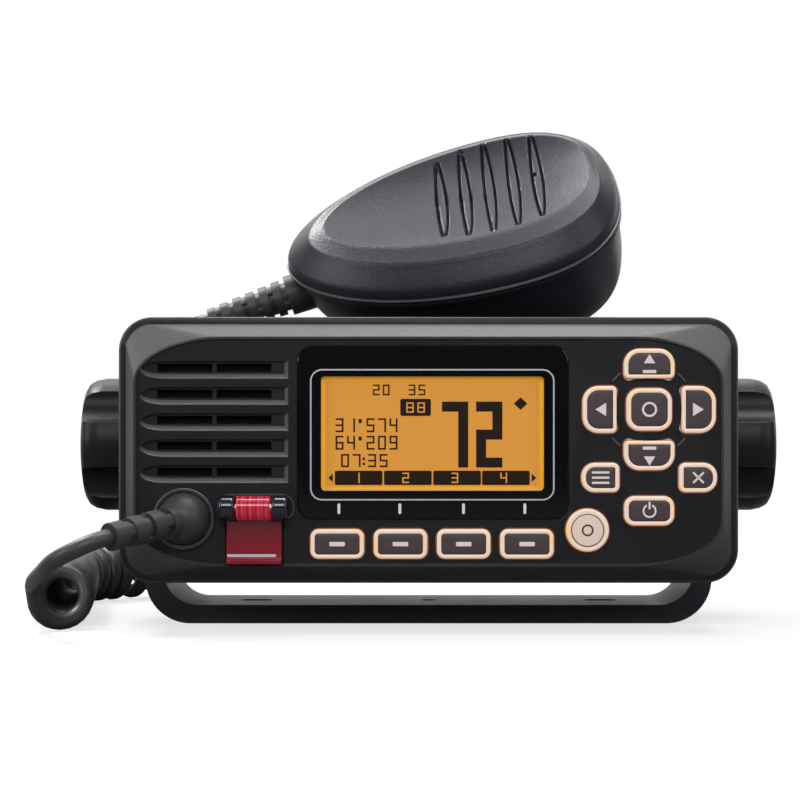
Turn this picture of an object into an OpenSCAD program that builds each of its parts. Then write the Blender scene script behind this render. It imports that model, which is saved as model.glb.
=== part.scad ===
// Fixed-mount marine VHF radio. A front case with its display and keys sits on a finned
// die-cast chassis, which clamp knobs hold by its sides in a U-shaped bracket. A fist
// microphone lies on top, and its curly cord lies on the ground at the left and hangs behind.
// Millimetres, +Z up, front towards -Y. The origin is on the bracket's underside, midway
// between its base slots, below the tilt axis.

/* [Front case] */
// Width of the front case
panel_w = 156.5; // [153:0.5:164]
// Height of the front case
panel_h = 67.2; // [66:0.2:72]
// Depth of the front case, from its crest to its rear wall's back
panel_d = 21.6; // [20:0.2:24]
// Height of the front case's lower edge above the ground
panel_z = 12.8; // [12:0.2:15]
// Radius of the front case's corners
panel_r = 8.4; // [6:0.2:10]
// Wall of the front case
panel_wall = 2.8; // [2.2:0.1:3.4]
// Thickness of the face plate
face_t = 3; // [2.6:0.1:3.6]
// Width of the dark rim round the sloping frame
rim_w = 1.9; // [1.2:0.1:2.6]
// Width of the rim and the sloping frame at each side
frame_side = 4.1; // [3.6:0.1:4.6]
// Width of the rim and the sloping frame at the top
frame_top = 5.1; // [4:0.1:5.4]
// Width of the rim and the sloping frame at the bottom
frame_bottom = 4.4; // [3.6:0.1:5.2]
// Depth that the face lies below the frame's crest
face_sink = 0.6; // [0.3:0.1:1]
// How far the crest stands in front of the rim
crest_rise = 3; // [2:0.1:3.4]
// Length of the face's corner curve along the top and bottom
face_rx = 22; // [12:1:24]
// Height of the face's corner curve along the sides
face_rz = 11.5; // [8:0.5:14]

/* [Display] */
// Place of the display's middle, left to right
display_x = 1.1; // [0:0.1:2]
// Height of the display's middle
display_z = 50.8; // [50:0.1:51.4]
// Width of the black lens
lens_w = 68.1; // [66:0.1:69]
// Height of the black lens
lens_h = 43.7; // [42:0.1:44.5]
// Thickness of the black lens
lens_t = 1.5; // [1:0.1:2]
// Width of the amber picture
window_w = 55.7; // [50:0.1:58]
// Height of the amber picture
window_h = 28.2; // [24:0.1:30]
// Thickness of the display glass
lcd_t = 2.2; // [1.6:0.1:2.6]

/* [Keys] */
// Travel of each key
key_travel = 0.8; // [0.5:0.1:1.1]
// How far the keys stand out of the face
key_proud = 1.3; // [1:0.1:2.2]
// Gap round each key in its opening
key_gap = 0.35; // [0.3:0.05:0.5]
// Width of the flange that holds a key behind the face plate
key_flange = 0.9; // [0.7:0.1:1.1]
// Thickness of that flange
key_flange_t = 0.8; // [0.6:0.1:1.2]
// Width of the four soft keys
softkey_w = 13.4; // [11:0.1:13.6]
// Height of the four soft keys
softkey_h = 7.4; // [6:0.1:8]
// Spacing of the four soft keys
softkey_pitch = 15.87; // [15.8:0.1:16]
// Drop from the lens to the middle of the soft keys
softkey_drop = 6.1; // [5.9:0.1:6.3]
// Distance from the face's right end to the ring of arrow keys
pad_inset = 18.75; // [18.35:0.1:19.15]
// Height of the ring of arrow keys above the front case's middle
pad_rise = 10.2; // [9.8:0.1:10.6]
// Reach from the middle key to the left and right keys
pad_reach_x = 12.3; // [12:0.1:12.6]
// Reach from the middle key to the up and down keys
pad_reach_z = 11.4; // [11.2:0.1:11.6]
// Width of the middle key
centre_w = 11.3; // [10:0.1:11.6]
// Height of the middle key
centre_h = 10.6; // [9:0.1:10.8]
// Width of the up and down keys
updown_w = 12.7; // [11:0.1:12.8]
// Height of the up and down keys
updown_h = 7.7; // [7:0.1:7.8]
// Width of the left and right keys
side_w = 8.8; // [8:0.1:9]
// Height of the left and right keys
side_h = 11.8; // [10:0.1:12]
// Width of the two small keys below the arrows
small_w = 9.5; // [8:0.1:9.8]
// Height of the two small keys and of the power key
small_h = 7.4; // [6.4:0.1:7.4]
// Width of the power key
power_w = 12.5; // [11:0.1:13]
// Diameter of the round key
round_d = 10.8; // [9:0.1:11]
// Radius of the sunk disc inside the arrow keys
pad_disc_r = 11.4; // [11:0.1:12]

/* [Speaker] */
// Length of each speaker slot
slot_len = 37.3; // [34:0.1:38]
// Height of each speaker slot
slot_h = 4.5; // [3.6:0.1:4.8]
// Spacing of the speaker slots
slot_pitch = 6.55; // [6:0.05:6.7]
// Number of speaker slots
slot_count = 5; // [3:1:5]
// Depth of each slot's recess
slot_depth = 1.1; // [0.6:0.1:1.6]
// Height of the slit through each slot
slit_h = 2.1; // [1.6:0.1:2.4]
// Radius of the speaker's basket
speaker_r = 17.5; // [14:0.5:18]

/* [Distress switch] */
// Distance from the face's left end to the flip cover
cover_inset = 30.45; // [30.15:0.1:30.55]
// Width of the flip cover
cover_w = 13.8; // [12:0.1:13.8]
// Height of the flip cover's plate
cover_h = 10.8; // [9:0.1:11]
// Thickness of the flip cover's plate
cover_t = 1.6; // [1.2:0.1:2]
// Height of the flip cover's hinge above the face's lower end
cover_rise = 14.85; // [14.6:0.05:15]
// Diameter of the hinge barrel
barrel_d = 5.9; // [5:0.1:6]
// Length of the hinge barrel
barrel_w = 8.4; // [7:0.1:8.4]
// Diameter of the hinge pin
pin_d = 2; // [1.6:0.1:2.4]
// Radial clearance of every pin and stud that turns in a bore
turn_gap = 0.06; // [0.03:0.01:0.09]

/* [Gland] */
// Distance from the face's left end to the microphone cord's gland
gland_inset = 12.75; // [12.15:0.1:13.15]
// Drop from the front case's middle to the microphone cord's gland
gland_drop = 17.2; // [17:0.1:17.6]
// Outer radius of the gland's ring
gland_r = 7.7; // [7.2:0.1:7.8]

/* [Chassis] */
// Width of the die-cast chassis
chassis_w = 137; // [134:0.5:138]
// Height of the chassis' underside
chassis_z = 16.2; // [15.8:0.2:18]
// Height of the chassis' top
chassis_top = 75; // [74:0.2:76]
// Depth from the tilt axis to the tips of the rear fins
chassis_back = 62; // [58:0.5:64]
// Depth of the rear fins
fin_d = 9; // [6:0.5:11]
// Thickness of each fin
fin_t = 1.8; // [1.4:0.1:2.4]
// Spacing of the fins
fin_pitch = 6.4; // [5:0.1:8]
// Wall of the chassis
chassis_wall = 3; // [2.4:0.1:4]
// Radius of the chassis' long edges
chassis_r = 3.5; // [2.5:0.1:5]

/* [Bracket] */
// Thickness of the friction pads between the chassis and the bracket's arms
pad_t = 1.7; // [1.2:0.1:2.4]
// Depth of the bracket, front to back
bracket_d = 34; // [30:1:36]
// Thickness of the bracket
bracket_t = 4.9; // [4:0.1:5]
// Outer radius of the bracket's lower corners
bracket_r = 12; // [9:0.5:14]
// Height of the tilt axis above the ground
pivot_z = 47.6; // [47:0.1:49]
// Distance from the tilt axis to the front case's crest
pivot_to_crest = 48.6; // [48:0.1:50]
// Spacing of the two base slots
base_spacing = 94; // [80:1:100]
// Length of each base slot
base_slot_len = 9; // [6:0.5:12]
// Width of each base slot
base_slot_w = 4.6; // [3.6:0.1:5.4]
// Diameter of the hole between the base slots
base_hole_d = 4; // [3:0.1:5]

/* [Clamp knobs] */
// Largest radius of a clamp knob
knob_r = 18; // [16:0.2:18.4]
// Number of lobes on a clamp knob
knob_lobes = 5; // [4:1:7]
// Depth of the hollows between the lobes
flute_depth = 3.1; // [2:0.1:3.6]
// Width of a clamp knob along its axis
knob_w = 17.4; // [15:0.2:20]
// Diameter of the clamp studs
stud_d = 5; // [4:0.1:6]

/* [Microphone] */
// Length of the microphone's head end, from its widest place
mic_head = 35; // [33:0.5:36]
// Length of the microphone's cord end, from its widest place
mic_tail = 58.8; // [56:0.4:60]
// Half the microphone's greatest width
mic_half_w = 30.3; // [29:0.1:31]
// Height of the microphone's face above its parting line
mic_face = 6; // [5:0.2:7]
// Depth of the microphone's back below its parting line
mic_back = 30; // [28:0.2:30]
// Wall of the microphone's shells
mic_wall = 2.2; // [1.8:0.1:2.6]
// Travel of the talk button
talk_travel = 1.5; // [1:0.1:1.8]

/* [Cord] */
// Diameter of the cord
cord_d = 4.2; // [3.8:0.1:4.3]
// Diameter of the curls, through the middle of the cord
curl_d = 12.4; // [12:0.1:13]
// Spacing of the curls
curl_pitch = 4.8; // [4.8:0.1:5.4]
// Spacing of the curls in the bend
bend_pitch = 6.2; // [6.2:0.1:7]

/* [Hidden] */
$fn = 48;

// Small amount by which a cutter runs past the surface that it cuts
past = 0.5;
// Gap between pieces that move past each other
loose = 0.4;
// Gap between pieces that lie against each other in different bodies
rest_gap = 0.3;

// Front case
panel_top = panel_z + panel_h;
panel_cz = panel_z + panel_h / 2;
crest_y = -pivot_to_crest;
rim_y = crest_y + crest_rise;
face_y = crest_y + face_sink;
plate_back_y = face_y + face_t;
panel_back_y = crest_y + panel_d;
rear_wall_t = 2.2;
rear_wall_y = panel_back_y - rear_wall_t;
edge_round = 0.6;
case_draft = 0.8;
face_left = -panel_w / 2 + frame_side;
face_right = panel_w / 2 - frame_side;
face_bottom = panel_z + frame_bottom;
face_top = panel_top - frame_top;
opening_margin = 12;
opening_r = 3;
corner_steps = 13;
frame_steps = 4;

// Display
lens_proud = 0.3;
lens_y = face_y - lens_proud;
lens_back_y = lens_y + lens_t;
lens_r = 4;
lens_gap = 0.1;
window_x = display_x - 0.15;
window_z = display_z - 0.2;
window_gap = 0.7;
glass_margin = 2.4;
glass_gap = 0.1;
lcd_y = plate_back_y;
holder_wall = 1.6;
holder_back = 1.2;
light_d = 2.4;

// Keys
pad_x = face_right - pad_inset;
pad_z = panel_cz + pad_rise;
key_y = face_y - key_proud;
flange_y = plate_back_y + rest_gap;
key_back_y = flange_y + key_flange_t;
mat_y = key_back_y + key_travel + rest_gap;
mat_t = 1.4;
mat_border = 2.6;
mat_web = 6;
board_t = 1.6;
board_y = mat_y + mat_t;
softkey_z = display_z - lens_h / 2 - softkey_drop;
softkey_r = 2;
small_drop = 17.1;
small_reach = 12.25;
small_r = 2.6;
small_end_r = 3.4;
power_drop = 25.45;
round_reach = 15.5;
round_drop = 30.3;
petal_hollow = 0.7;
petal_r = 20;
petal_end_r = 4;
petal_point_r = 1.6;
centre_r = 3.3;
pad_sink = 0.5;

// Each key's middle, size, corner radii (top left, top right, bottom right, bottom left)
// and the side that is hollowed towards the middle key, as a direction
function soft_x(i) = display_x - 0.2 + (i - 1.5) * softkey_pitch;
SOFT_R = softkey_r * [1, 1, 1, 1];
KEYS = [
    ["softkey_1", [soft_x(0), softkey_z], [softkey_w, softkey_h], SOFT_R, [0, 0]],
    ["softkey_2", [soft_x(1), softkey_z], [softkey_w, softkey_h], SOFT_R, [0, 0]],
    ["softkey_3", [soft_x(2), softkey_z], [softkey_w, softkey_h], SOFT_R, [0, 0]],
    ["softkey_4", [soft_x(3), softkey_z], [softkey_w, softkey_h], SOFT_R, [0, 0]],
    ["key_up", [pad_x, pad_z + pad_reach_z], [updown_w, updown_h],
        [petal_end_r, petal_end_r, petal_point_r, petal_point_r], [0, -1]],
    ["key_down", [pad_x, pad_z - pad_reach_z], [updown_w, updown_h],
        [petal_point_r, petal_point_r, petal_end_r, petal_end_r], [0, 1]],
    ["key_left", [pad_x - pad_reach_x, pad_z], [side_w, side_h],
        [petal_end_r, petal_point_r, petal_point_r, petal_end_r], [1, 0]],
    ["key_right", [pad_x + pad_reach_x, pad_z], [side_w, side_h],
        [petal_point_r, petal_end_r, petal_end_r, petal_point_r], [-1, 0]],
    ["key_centre", [pad_x, pad_z], [centre_w, centre_h], centre_r * [1, 1, 1, 1], [0, 0]],
    ["key_menu", [pad_x - small_reach, pad_z - small_drop], [small_w, small_h],
        [small_end_r, petal_point_r, petal_point_r, small_end_r], [0, 0]],
    ["key_clear", [pad_x + small_reach, pad_z - small_drop], [small_w, small_h],
        [petal_point_r, small_end_r, small_end_r, petal_point_r], [0, 0]],
    ["key_power", [pad_x, pad_z - power_drop], [power_w, small_h],
        small_r * [1, 1, 1, 1], [0, 0]],
    ["key_round", [pad_x - round_reach, pad_z - round_drop], [round_d, round_d],
        round_d / 2 * [1, 1, 1, 1], [0, 0]],
];

// Speaker
slot_x = face_left + 1.6;
slot_z = panel_cz + 7.1;
slot_taper = 6;
slot_tip_steps = 8;
slot_foot = 1.2;
slot_head = 0.3;
slot_end = 1;
slit_margin = 4.2;
slit_rib = 1;
slit_rise = 0.5;
speaker_x = slot_x + slot_len / 2;
speaker_z = slot_z;
net_t = 0.3;
basket_t = 3.4;
magnet_r = speaker_r * 0.55;
magnet_d = 8;

// Distress switch
cover_x = face_left + cover_inset;
cover_hinge_z = face_bottom + cover_rise;
cover_gap = 0.35;
hinge_y = face_y - barrel_d / 2 - cover_gap;
ear_t = 4;
ear_gap = 0.4;
ear_h = 6.4;
pin_inset = 0.6;
cover_z = cover_hinge_z - barrel_d / 2 - 0.4;
cover_foot = cover_z - cover_h;
cover_y = face_y - cover_gap - cover_t;
pocket_depth = 1.2;
pocket_margin = 0.5;
distress_w = 10.4;
distress_h = 8.2;
distress_z = cover_z - cover_h / 2 - 0.2;
distress_proud = -0.6;

// Gland
gland_x = face_left + gland_inset;
gland_z = panel_cz - gland_drop;
gland_bore = 6.2;
gland_proud = 1.5;
gland_sleeve_r = gland_bore - 0.1;
gland_sleeve_end = plate_back_y + 4;
dome_r = 6.6;
boot_neck_r = 4.2;
boot_tip_r = 3.5;
boot_rings = 4;
boot_len = 23.8;
boot_ring_share = 0.62;
boot_bridge_w = 2.8;
boot_bridge_sink = 0.25;
boot_bridge_past = 0.1;
boot_bridge_turn = 20;
boot_turn = 42;
boot_dip = 9;
boot_dir = [-sin(boot_turn) * cos(boot_dip), -cos(boot_turn) * cos(boot_dip), -sin(boot_dip)];
boot_from = [gland_x, face_y - 2, gland_z];
boot_to = boot_from + boot_len * boot_dir;

// Chassis
gasket_t = 0.8;
chassis_y = panel_back_y + gasket_t;
fin_y = chassis_back - fin_d;
chassis_cz = (chassis_z + chassis_top) / 2;
chassis_h = chassis_top - chassis_z;
pivot_boss_r = 7;
pivot_boss_d = 8;
groove_pitch = 12;
groove_pairs = 4;
groove_w = 3;
groove_d = 0.7;
groove_end = 6;
screw_r = 1.5;
screw_head_r = 2.8;
screw_head_t = 1.8;
screw_head_gap = 1.2;
screw_len = 7;
screw_spare = 1;
screw_slot_w = 0.8;
screw_slot_d = 0.7;
screw_dx = chassis_w / 2 - 7;
screw_dz = chassis_h / 2 - 6;
socket_inset = 28.5;
socket_x = chassis_w / 2 - socket_inset;
socket_z = chassis_cz + 2;
socket_r = 7.94;
socket_len = 15;
socket_flange_r = 11;
socket_core_r = 5.2;
socket_pin_r = 1.9;
power_inset = 34.5;
power_x = power_inset - chassis_w / 2;
power_z = chassis_cz - 8;
power_r = 6.5;
data_reach = 26;
data_x = power_x + data_reach;
data_z = chassis_cz - 8;
data_r = 4.6;
gland_out = 7;
pad_plate = 3;

board_lift = 6;
board_side = 0.5;
board_front = 4;
board_rear = 2;
board_notch = [10, 12];
coil_block = 6;

// Bracket and knobs
bracket_w = chassis_w + 2 * (rest_gap + pad_t + bracket_t);
arm_in = bracket_w / 2 - bracket_t;
arm_out = bracket_w / 2;
arm_top_r = 14;
arm_hole_r = stud_d / 2 + 0.5;
bracket_inner_r = bracket_r - bracket_t + 2;
pad_r = 10;
knob_in = arm_out + loose;
knob_edge = 2.6;
knob_ring_r = 8.9;
knob_ring_w = 1.2;
knob_ring_d = 1.2;
flute_r = 7;
stud_tip = chassis_w / 2 - pivot_boss_d + 1;
stud_seat = 8;

// Microphone: its own axes are +X towards its head, +Y towards the talk button and +Z out
// of its face, with the parting line at z = 0
mic_place = [5.9, 4.4, 109.6];
mic_turn = [46.2, -13.65, -3.3];
mic_points = 44;
head_power = 2.5;
tail_power = 1.88;
mic_wide_at = (mic_tail - mic_head) / 2;
flange_side = 5;
back_slant = 0.004;
dish_depth = 1.6;
mic_slots = 5;
mic_slot_pitch = 6.8;
mic_slot_x = 12.5;
mic_slot_y = 3;
mic_slot_len = 36;
mic_slot_fall = 1;
mic_slot_longest = 2.3;
mic_slot_w = 3;
mic_slot_lean = -4;
mic_slot_depth = 1.4;
talk_x = 4;
talk_len = 30;
talk_z = -13;
talk_h = 9;
talk_flush = 1.5;
talk_depth = 4.9;
talk_flange = 1.2;
hanger_r = 6;
hanger_stem_r = 1.9;
mic_boot_at = [-45.6, 0, -12.4];
mic_boot_len = 27;
mic_boot_turn = [0, -90, 5.5];
mic_boot_r = 5.6;
mic_boot_tip_r = 3.3;
mic_boot_ribs = 6;
mic_boot_inside = 3.8;
mic_boot_share = 0.6;
mic_board_z = -7.6;
mic_board_len = 50;
mic_board_w = 26;
mic_board_tail = 32;
mic_boss_r = 3.2;
mic_screw_len = 8;
mic_screw_inset = 0.6;
hanger_x = 6;
mic_screw_places = [[-16, 0], [22, 8], [22, -8]];

// Cord
cord_r = cord_d / 2;
curl_r = curl_d / 2;
coil_z = curl_r + cord_r + 0.1;
curl_rings = 8;
cord_sides = 6;
tube_sides = 8;
lead_turn_deg = 7.7;
coil_start = [-95.2, -30];
first_run = 68;
bend_r = 27;
bend_deg = 60;
climb_r = 27;
last_run = 24;
drawn_in = 14;
drawn_up = 8;
coil_phase = 178;
coil_end_deg = 270;
end_straight = cord_d;

// ---- Outlines and lofts ----

function unit(v) = v / norm(v);
function flat(list) = [for (part = list) for (item = part) item];

// Points of a box with elliptical corners, anticlockwise from the lower right corner
function corner_box(x0, x1, z0, z1, rx, rz, steps) = [
    for (c = [[x1 - rx, z0 + rz, -90], [x1 - rx, z1 - rz, 0], [x0 + rx, z1 - rz, 90],
            [x0 + rx, z0 + rz, 180]])
        for (i = [0:steps - 1])
            let (a = c[2] + 90 * i / (steps - 1))
            [c[0] + rx * cos(a), c[1] + rz * sin(a)]
];

// Solid through rings of points with equal counts, each ring anticlockwise seen from the last
module loft(rings) {
    n = len(rings[0]);
    last = len(rings) - 1;
    sides = [
        for (k = [0:last - 1])
            for (i = [0:n - 1])
                let (a = k * n + i, b = k * n + (i + 1) % n)
                for (face = [[a, a + n, b + n], [a, b + n, b]]) face
    ];
    first_cap = [for (i = [0:n - 1]) i];
    last_cap = [for (i = [n - 1:-1:0]) last * n + i];
    polyhedron(points = flat(rings), faces = concat([first_cap, last_cap], sides));
}

// Plate between two depths with an outline drawn as it is seen from the front
module facing(front_y, back_y) {
    translate([0, back_y, 0])
        rotate([90, 0, 0])
            linear_extrude(back_y - front_y)
                children();
}

// Rectangle with round corners about the origin
module round_rect(w, h, r) {
    square([w - 2 * r, h], center = true);
    square([w, h - 2 * r], center = true);
    for (sx = [-1, 1], sz = [-1, 1])
        translate([sx * (w / 2 - r), sz * (h / 2 - r)])
            circle(r);
}

// Cylinder along X from one place to another
module rod_x(x0, x1, r) {
    translate([x0, 0, 0])
        rotate([0, 90, 0])
            cylinder(h = x1 - x0, r = r);
}

// Cylinder along Y from one place to another
module rod_y(y0, y1, r, r2 = undef) {
    translate([0, y0, 0])
        rotate([-90, 0, 0])
            cylinder(h = y1 - y0, r1 = r, r2 = is_undef(r2) ? r : r2);
}

// ---- Front case ----

function case_ring(inset, y) = [
    for (p = corner_box(-panel_w / 2 + inset, panel_w / 2 - inset, panel_z + inset,
            panel_top - inset, panel_r - inset, panel_r - inset, corner_steps))
        [p[0], y, p[1]]
];

function face_points(inset) = corner_box(face_left + inset, face_right - inset,
    face_bottom + inset, face_top - inset, face_rx - inset, face_rz - inset, corner_steps);

// Ring of the sloping frame, at a share of the way from the rim to the crest
function frame_ring(t) =
    let (rim = case_ring(rim_w, rim_y - edge_round / 2), crest = face_points(0))
    [for (i = [0:len(rim) - 1]) (1 - t) * rim[i] + t * [crest[i][0], crest_y, crest[i][1]]];

module case_body() {
    loft(concat(
        [
            case_ring(case_draft, panel_back_y),
            case_ring(0, rim_y + 2 * crest_rise),
            case_ring(0, rim_y + edge_round),
            case_ring(edge_round / 3, rim_y + edge_round / 3),
            case_ring(edge_round, rim_y),
        ],
        [for (i = [0:frame_steps]) frame_ring(i / frame_steps)]
    ));
}

// Ring of one speaker recess, drawn in by a share of the slopes along its foot and right end
function slot_ring(t, y) =
    let (
        low = -slot_h / 2 + t * slot_foot,
        high = slot_h / 2 - t * slot_head,
        right = slot_len - t * slot_end,
        middle = (low + high) / 2
    )
    concat([[right, y, low], [right, y, high]], [
        for (i = [0:slot_tip_steps])
            let (a = 90 + 180 * i / slot_tip_steps)
            [slot_taper + (slot_taper - t * slot_head) * cos(a), y, middle + (high - low) / 2 * sin(a)]
    ]);

module speaker_slots() {
    slit_len = slot_len - 2 * slit_margin;
    for (i = [0:slot_count - 1])
        translate([slot_x, 0, slot_z + ((slot_count - 1) / 2 - i) * slot_pitch]) {
            loft([slot_ring(1, face_y + slot_depth), slot_ring(0, face_y), slot_ring(0, crest_y - past)]);
            facing(face_y, plate_back_y + past)
                for (side = [0, 1])
                    translate([slit_margin + side * (slit_len + slit_rib) / 2, slit_rise - slit_h / 2])
                        square([(slit_len - slit_rib) / 2, slit_h]);
        }
}

// Outline of one key, grown by a gap
module key_outline(key, grow) {
    half = key[2] / 2 + [grow, grow];
    radii = [for (r = key[3]) r + grow];
    corners = [
        [[half[0] - radii[2], -half[1] + radii[2]], radii[2], -90],
        [[half[0] - radii[1], half[1] - radii[1]], radii[1], 0],
        [[-half[0] + radii[0], half[1] - radii[0]], radii[0], 90],
        [[-half[0] + radii[3], -half[1] + radii[3]], radii[3], 180],
    ];
    hollow = key[4];
    reach = [hollow[0] * half[0], hollow[1] * half[1]];
    translate(key[1])
        difference() {
            polygon([
                for (c = corners)
                    for (i = [0:6])
                        c[0] + c[1] * [cos(c[2] + 15 * i), sin(c[2] + 15 * i)]
            ]);
            if (norm(hollow) > 0)
                translate(reach + (petal_r - petal_hollow) * hollow)
                    circle(petal_r, $fn = 96);
        }
}

module key_openings() {
    facing(crest_y - past, plate_back_y + past)
        for (key = KEYS)
            key_outline(key, key_gap);
}

module front_panel() {
    cavity_w = panel_w - 2 * panel_wall;
    cavity_h = panel_h - 2 * panel_wall;
    color([0.16, 0.16, 0.18])
        difference() {
            case_body();
            facing(crest_y - past, face_y)
                polygon(face_points(face_sink));
            translate([0, 0, panel_cz]) {
                facing(plate_back_y, rear_wall_y)
                    round_rect(cavity_w, cavity_h, panel_r - panel_wall);
                facing(rear_wall_y - past, panel_back_y + past)
                    round_rect(panel_w - 2 * opening_margin, panel_h - opening_margin, opening_r);
            }
            translate([display_x, 0, display_z])
                facing(crest_y - past, lens_back_y)
                    round_rect(lens_w + 2 * lens_gap, lens_h + 2 * lens_gap, lens_r);
            translate([window_x, 0, window_z])
                facing(crest_y, plate_back_y + past)
                    square([window_w + 2 * window_gap, window_h + 2 * window_gap], center = true);
            translate([pad_x, 0, pad_z])
                facing(crest_y - past, face_y + pad_sink)
                    circle(pad_disc_r);
            speaker_slots();
            key_openings();
            translate([cover_x, 0, (cover_foot + cover_z) / 2])
                facing(crest_y - past, face_y + pocket_depth)
                    square([cover_w + 2 * pocket_margin, cover_h + 2 * pocket_margin], center = true);
            translate([cover_x, 0, distress_z])
                facing(crest_y, plate_back_y + past)
                    square([distress_w + 2 * key_gap, distress_h + 2 * key_gap], center = true);
            translate([gland_x, 0, gland_z])
                rod_y(crest_y - past, plate_back_y + past, gland_bore);
        }
}

module display_lens() {
    color([0.03, 0.03, 0.04])
        translate([display_x, 0, display_z])
            facing(lens_y, lens_back_y)
                round_rect(lens_w, lens_h, lens_r);
}

module lcd_panel() {
    color([0.84, 0.58, 0.2])
        translate([window_x, 0, window_z]) {
            facing(lcd_y, lcd_y + lcd_t)
                square([window_w + 2 * glass_margin, window_h + 2 * glass_margin], center = true);
            facing(lens_back_y, lcd_y)
                square([window_w, window_h], center = true);
        }
}

module lcd_holder() {
    outer = [window_w, window_h] + 2 * (glass_margin + holder_wall) * [1, 1];
    inner = [window_w, window_h] + 2 * (glass_margin + glass_gap) * [1, 1];
    back_y = lcd_y + lcd_t + light_d + holder_back;
    color([0.85, 0.85, 0.82])
        translate([window_x, 0, window_z])
            difference() {
                facing(plate_back_y, back_y)
                    square(outer, center = true);
                facing(plate_back_y - past, lcd_y + lcd_t)
                    square(inner, center = true);
                facing(lcd_y, lcd_y + lcd_t + light_d)
                    square([window_w, window_h], center = true);
            }
}

module key_cap(index) {
    color(index == 12 ? [0.93, 0.82, 0.78] : [0.3, 0.26, 0.27]) {
        facing(key_y, flange_y)
            key_outline(KEYS[index], 0);
        facing(flange_y, key_back_y)
            key_outline(KEYS[index], key_flange);
    }
}

// Silicone mat behind the keys: one pad for each key, the lowest of them on a common web
module keypad_mat() {
    color([0.82, 0.74, 0.68])
        facing(mat_y, board_y) {
            for (key = KEYS)
                key_outline(key, mat_border);
            translate([soft_x(0), softkey_z - mat_web / 2])
                square([pad_x - round_reach - soft_x(0), mat_web]);
        }
}

module front_board() {
    left = speaker_x + speaker_r + 1;
    right = panel_w / 2 - panel_wall - rest_gap - 1;
    low = panel_z + panel_wall + 0.6;
    high = panel_top - panel_wall - 0.6;
    color([0.1, 0.35, 0.2])
        facing(board_y, board_y + board_t)
            difference() {
                translate([(left + right) / 2, (low + high) / 2])
                    round_rect(right - left, high - low, panel_r - panel_wall);
                translate([window_x, window_z])
                    square([window_w, window_h] + 2 * (glass_margin + holder_wall + rest_gap) * [1, 1],
                        center = true);
            }
}

module speaker_net() {
    width = slot_len - 2 * slit_margin + 2;
    height = (slot_count - 1) * slot_pitch + slit_h + 2;
    color([0.08, 0.08, 0.08])
        translate([slot_x + slot_len / 2, 0, slot_z])
            facing(plate_back_y, plate_back_y + net_t)
                square([width, height], center = true);
}

module speaker() {
    front = plate_back_y + net_t;
    cone_back = front + basket_t;
    rear = rear_wall_y - rest_gap;
    magnet_y = rear - magnet_d;
    color([0.2, 0.2, 0.2])
        translate([speaker_x, 0, speaker_z])
            difference() {
                union() {
                    rod_y(front, cone_back, speaker_r);
                    rod_y(cone_back, magnet_y, speaker_r - 2, magnet_r);
                    rod_y(magnet_y, rear, magnet_r);
                }
                rod_y(front - past, front + 0.8, speaker_r - 1.6);
                rod_y(front + 0.4, cone_back, speaker_r - 3, 5);
            }
}

// ---- Distress switch ----

module hinge_ears() {
    inner = barrel_w / 2 + ear_gap;
    color([0.3, 0.02, 0.03])
        translate([cover_x, 0, cover_hinge_z])
            for (side = [-1, 1])
                translate([side * (inner + ear_t / 2), 0, 0])
                    difference() {
                        union() {
                            translate([-ear_t / 2, hinge_y, -ear_h / 2])
                                cube([ear_t, face_y - hinge_y, ear_h]);
                            translate([0, hinge_y, 0])
                                rod_x(-ear_t / 2, ear_t / 2, ear_h / 2);
                        }
                        translate([0, hinge_y, 0])
                            rod_x(-ear_t, ear_t, pin_d / 2);
                    }
}

module hinge_pin() {
    reach = barrel_w / 2 + ear_gap + ear_t - pin_inset;
    color([0.75, 0.75, 0.78])
        translate([cover_x, hinge_y, cover_hinge_z])
            rod_x(-reach, reach, pin_d / 2);
}

module distress_cover() {
    lip = 1.2;
    color([0.75, 0.05, 0.07, 0.8])
        difference() {
            union() {
                translate([cover_x, hinge_y, cover_hinge_z])
                    rod_x(-barrel_w / 2, barrel_w / 2, barrel_d / 2);
                translate([cover_x - barrel_w / 2, cover_y, cover_foot])
                    cube([barrel_w, cover_t, cover_hinge_z - cover_foot]);
                translate([cover_x - cover_w / 2, cover_y, cover_foot])
                    cube([cover_w, cover_t, cover_h]);
                translate([cover_x - cover_w / 2, cover_y - lip, cover_foot])
                    cube([cover_w, lip + past, lip]);
            }
            translate([cover_x, hinge_y, cover_hinge_z])
                rod_x(-barrel_w, barrel_w, pin_d / 2 + turn_gap);
        }
}

module distress_key() {
    color([0.8, 0.06, 0.08])
        translate([cover_x, 0, distress_z]) {
            facing(face_y - distress_proud, flange_y)
                square([distress_w, distress_h], center = true);
            facing(flange_y, key_back_y)
                square([distress_w, distress_h] + 2 * key_flange * [1, 1], center = true);
        }
}

// ---- Gland and strain relief on the front ----

module gland_ring() {
    color([0.1, 0.1, 0.11])
        translate([gland_x, 0, gland_z])
            difference() {
                union() {
                    rod_y(face_y - gland_proud, face_y, gland_r);
                    rod_y(face_y, gland_sleeve_end, gland_sleeve_r);
                }
                rod_y(face_y - gland_proud - past, gland_sleeve_end + past, boot_neck_r);
                rod_y(face_y - gland_proud - past, face_y - 0.4, dome_r + 0.2);
            }
}

// Two bridges across the gap between two rings of a boot, on opposite sides
module boot_bridges(gap, r) {
    intersection() {
        translate([0, 0, -boot_bridge_past])
            cylinder(h = gap + 2 * boot_bridge_past, r = r - boot_bridge_sink);
        translate([-r, -boot_bridge_w / 2, -boot_bridge_past])
            cube([2 * r, boot_bridge_w, gap + 2 * boot_bridge_past]);
    }
}

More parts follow.
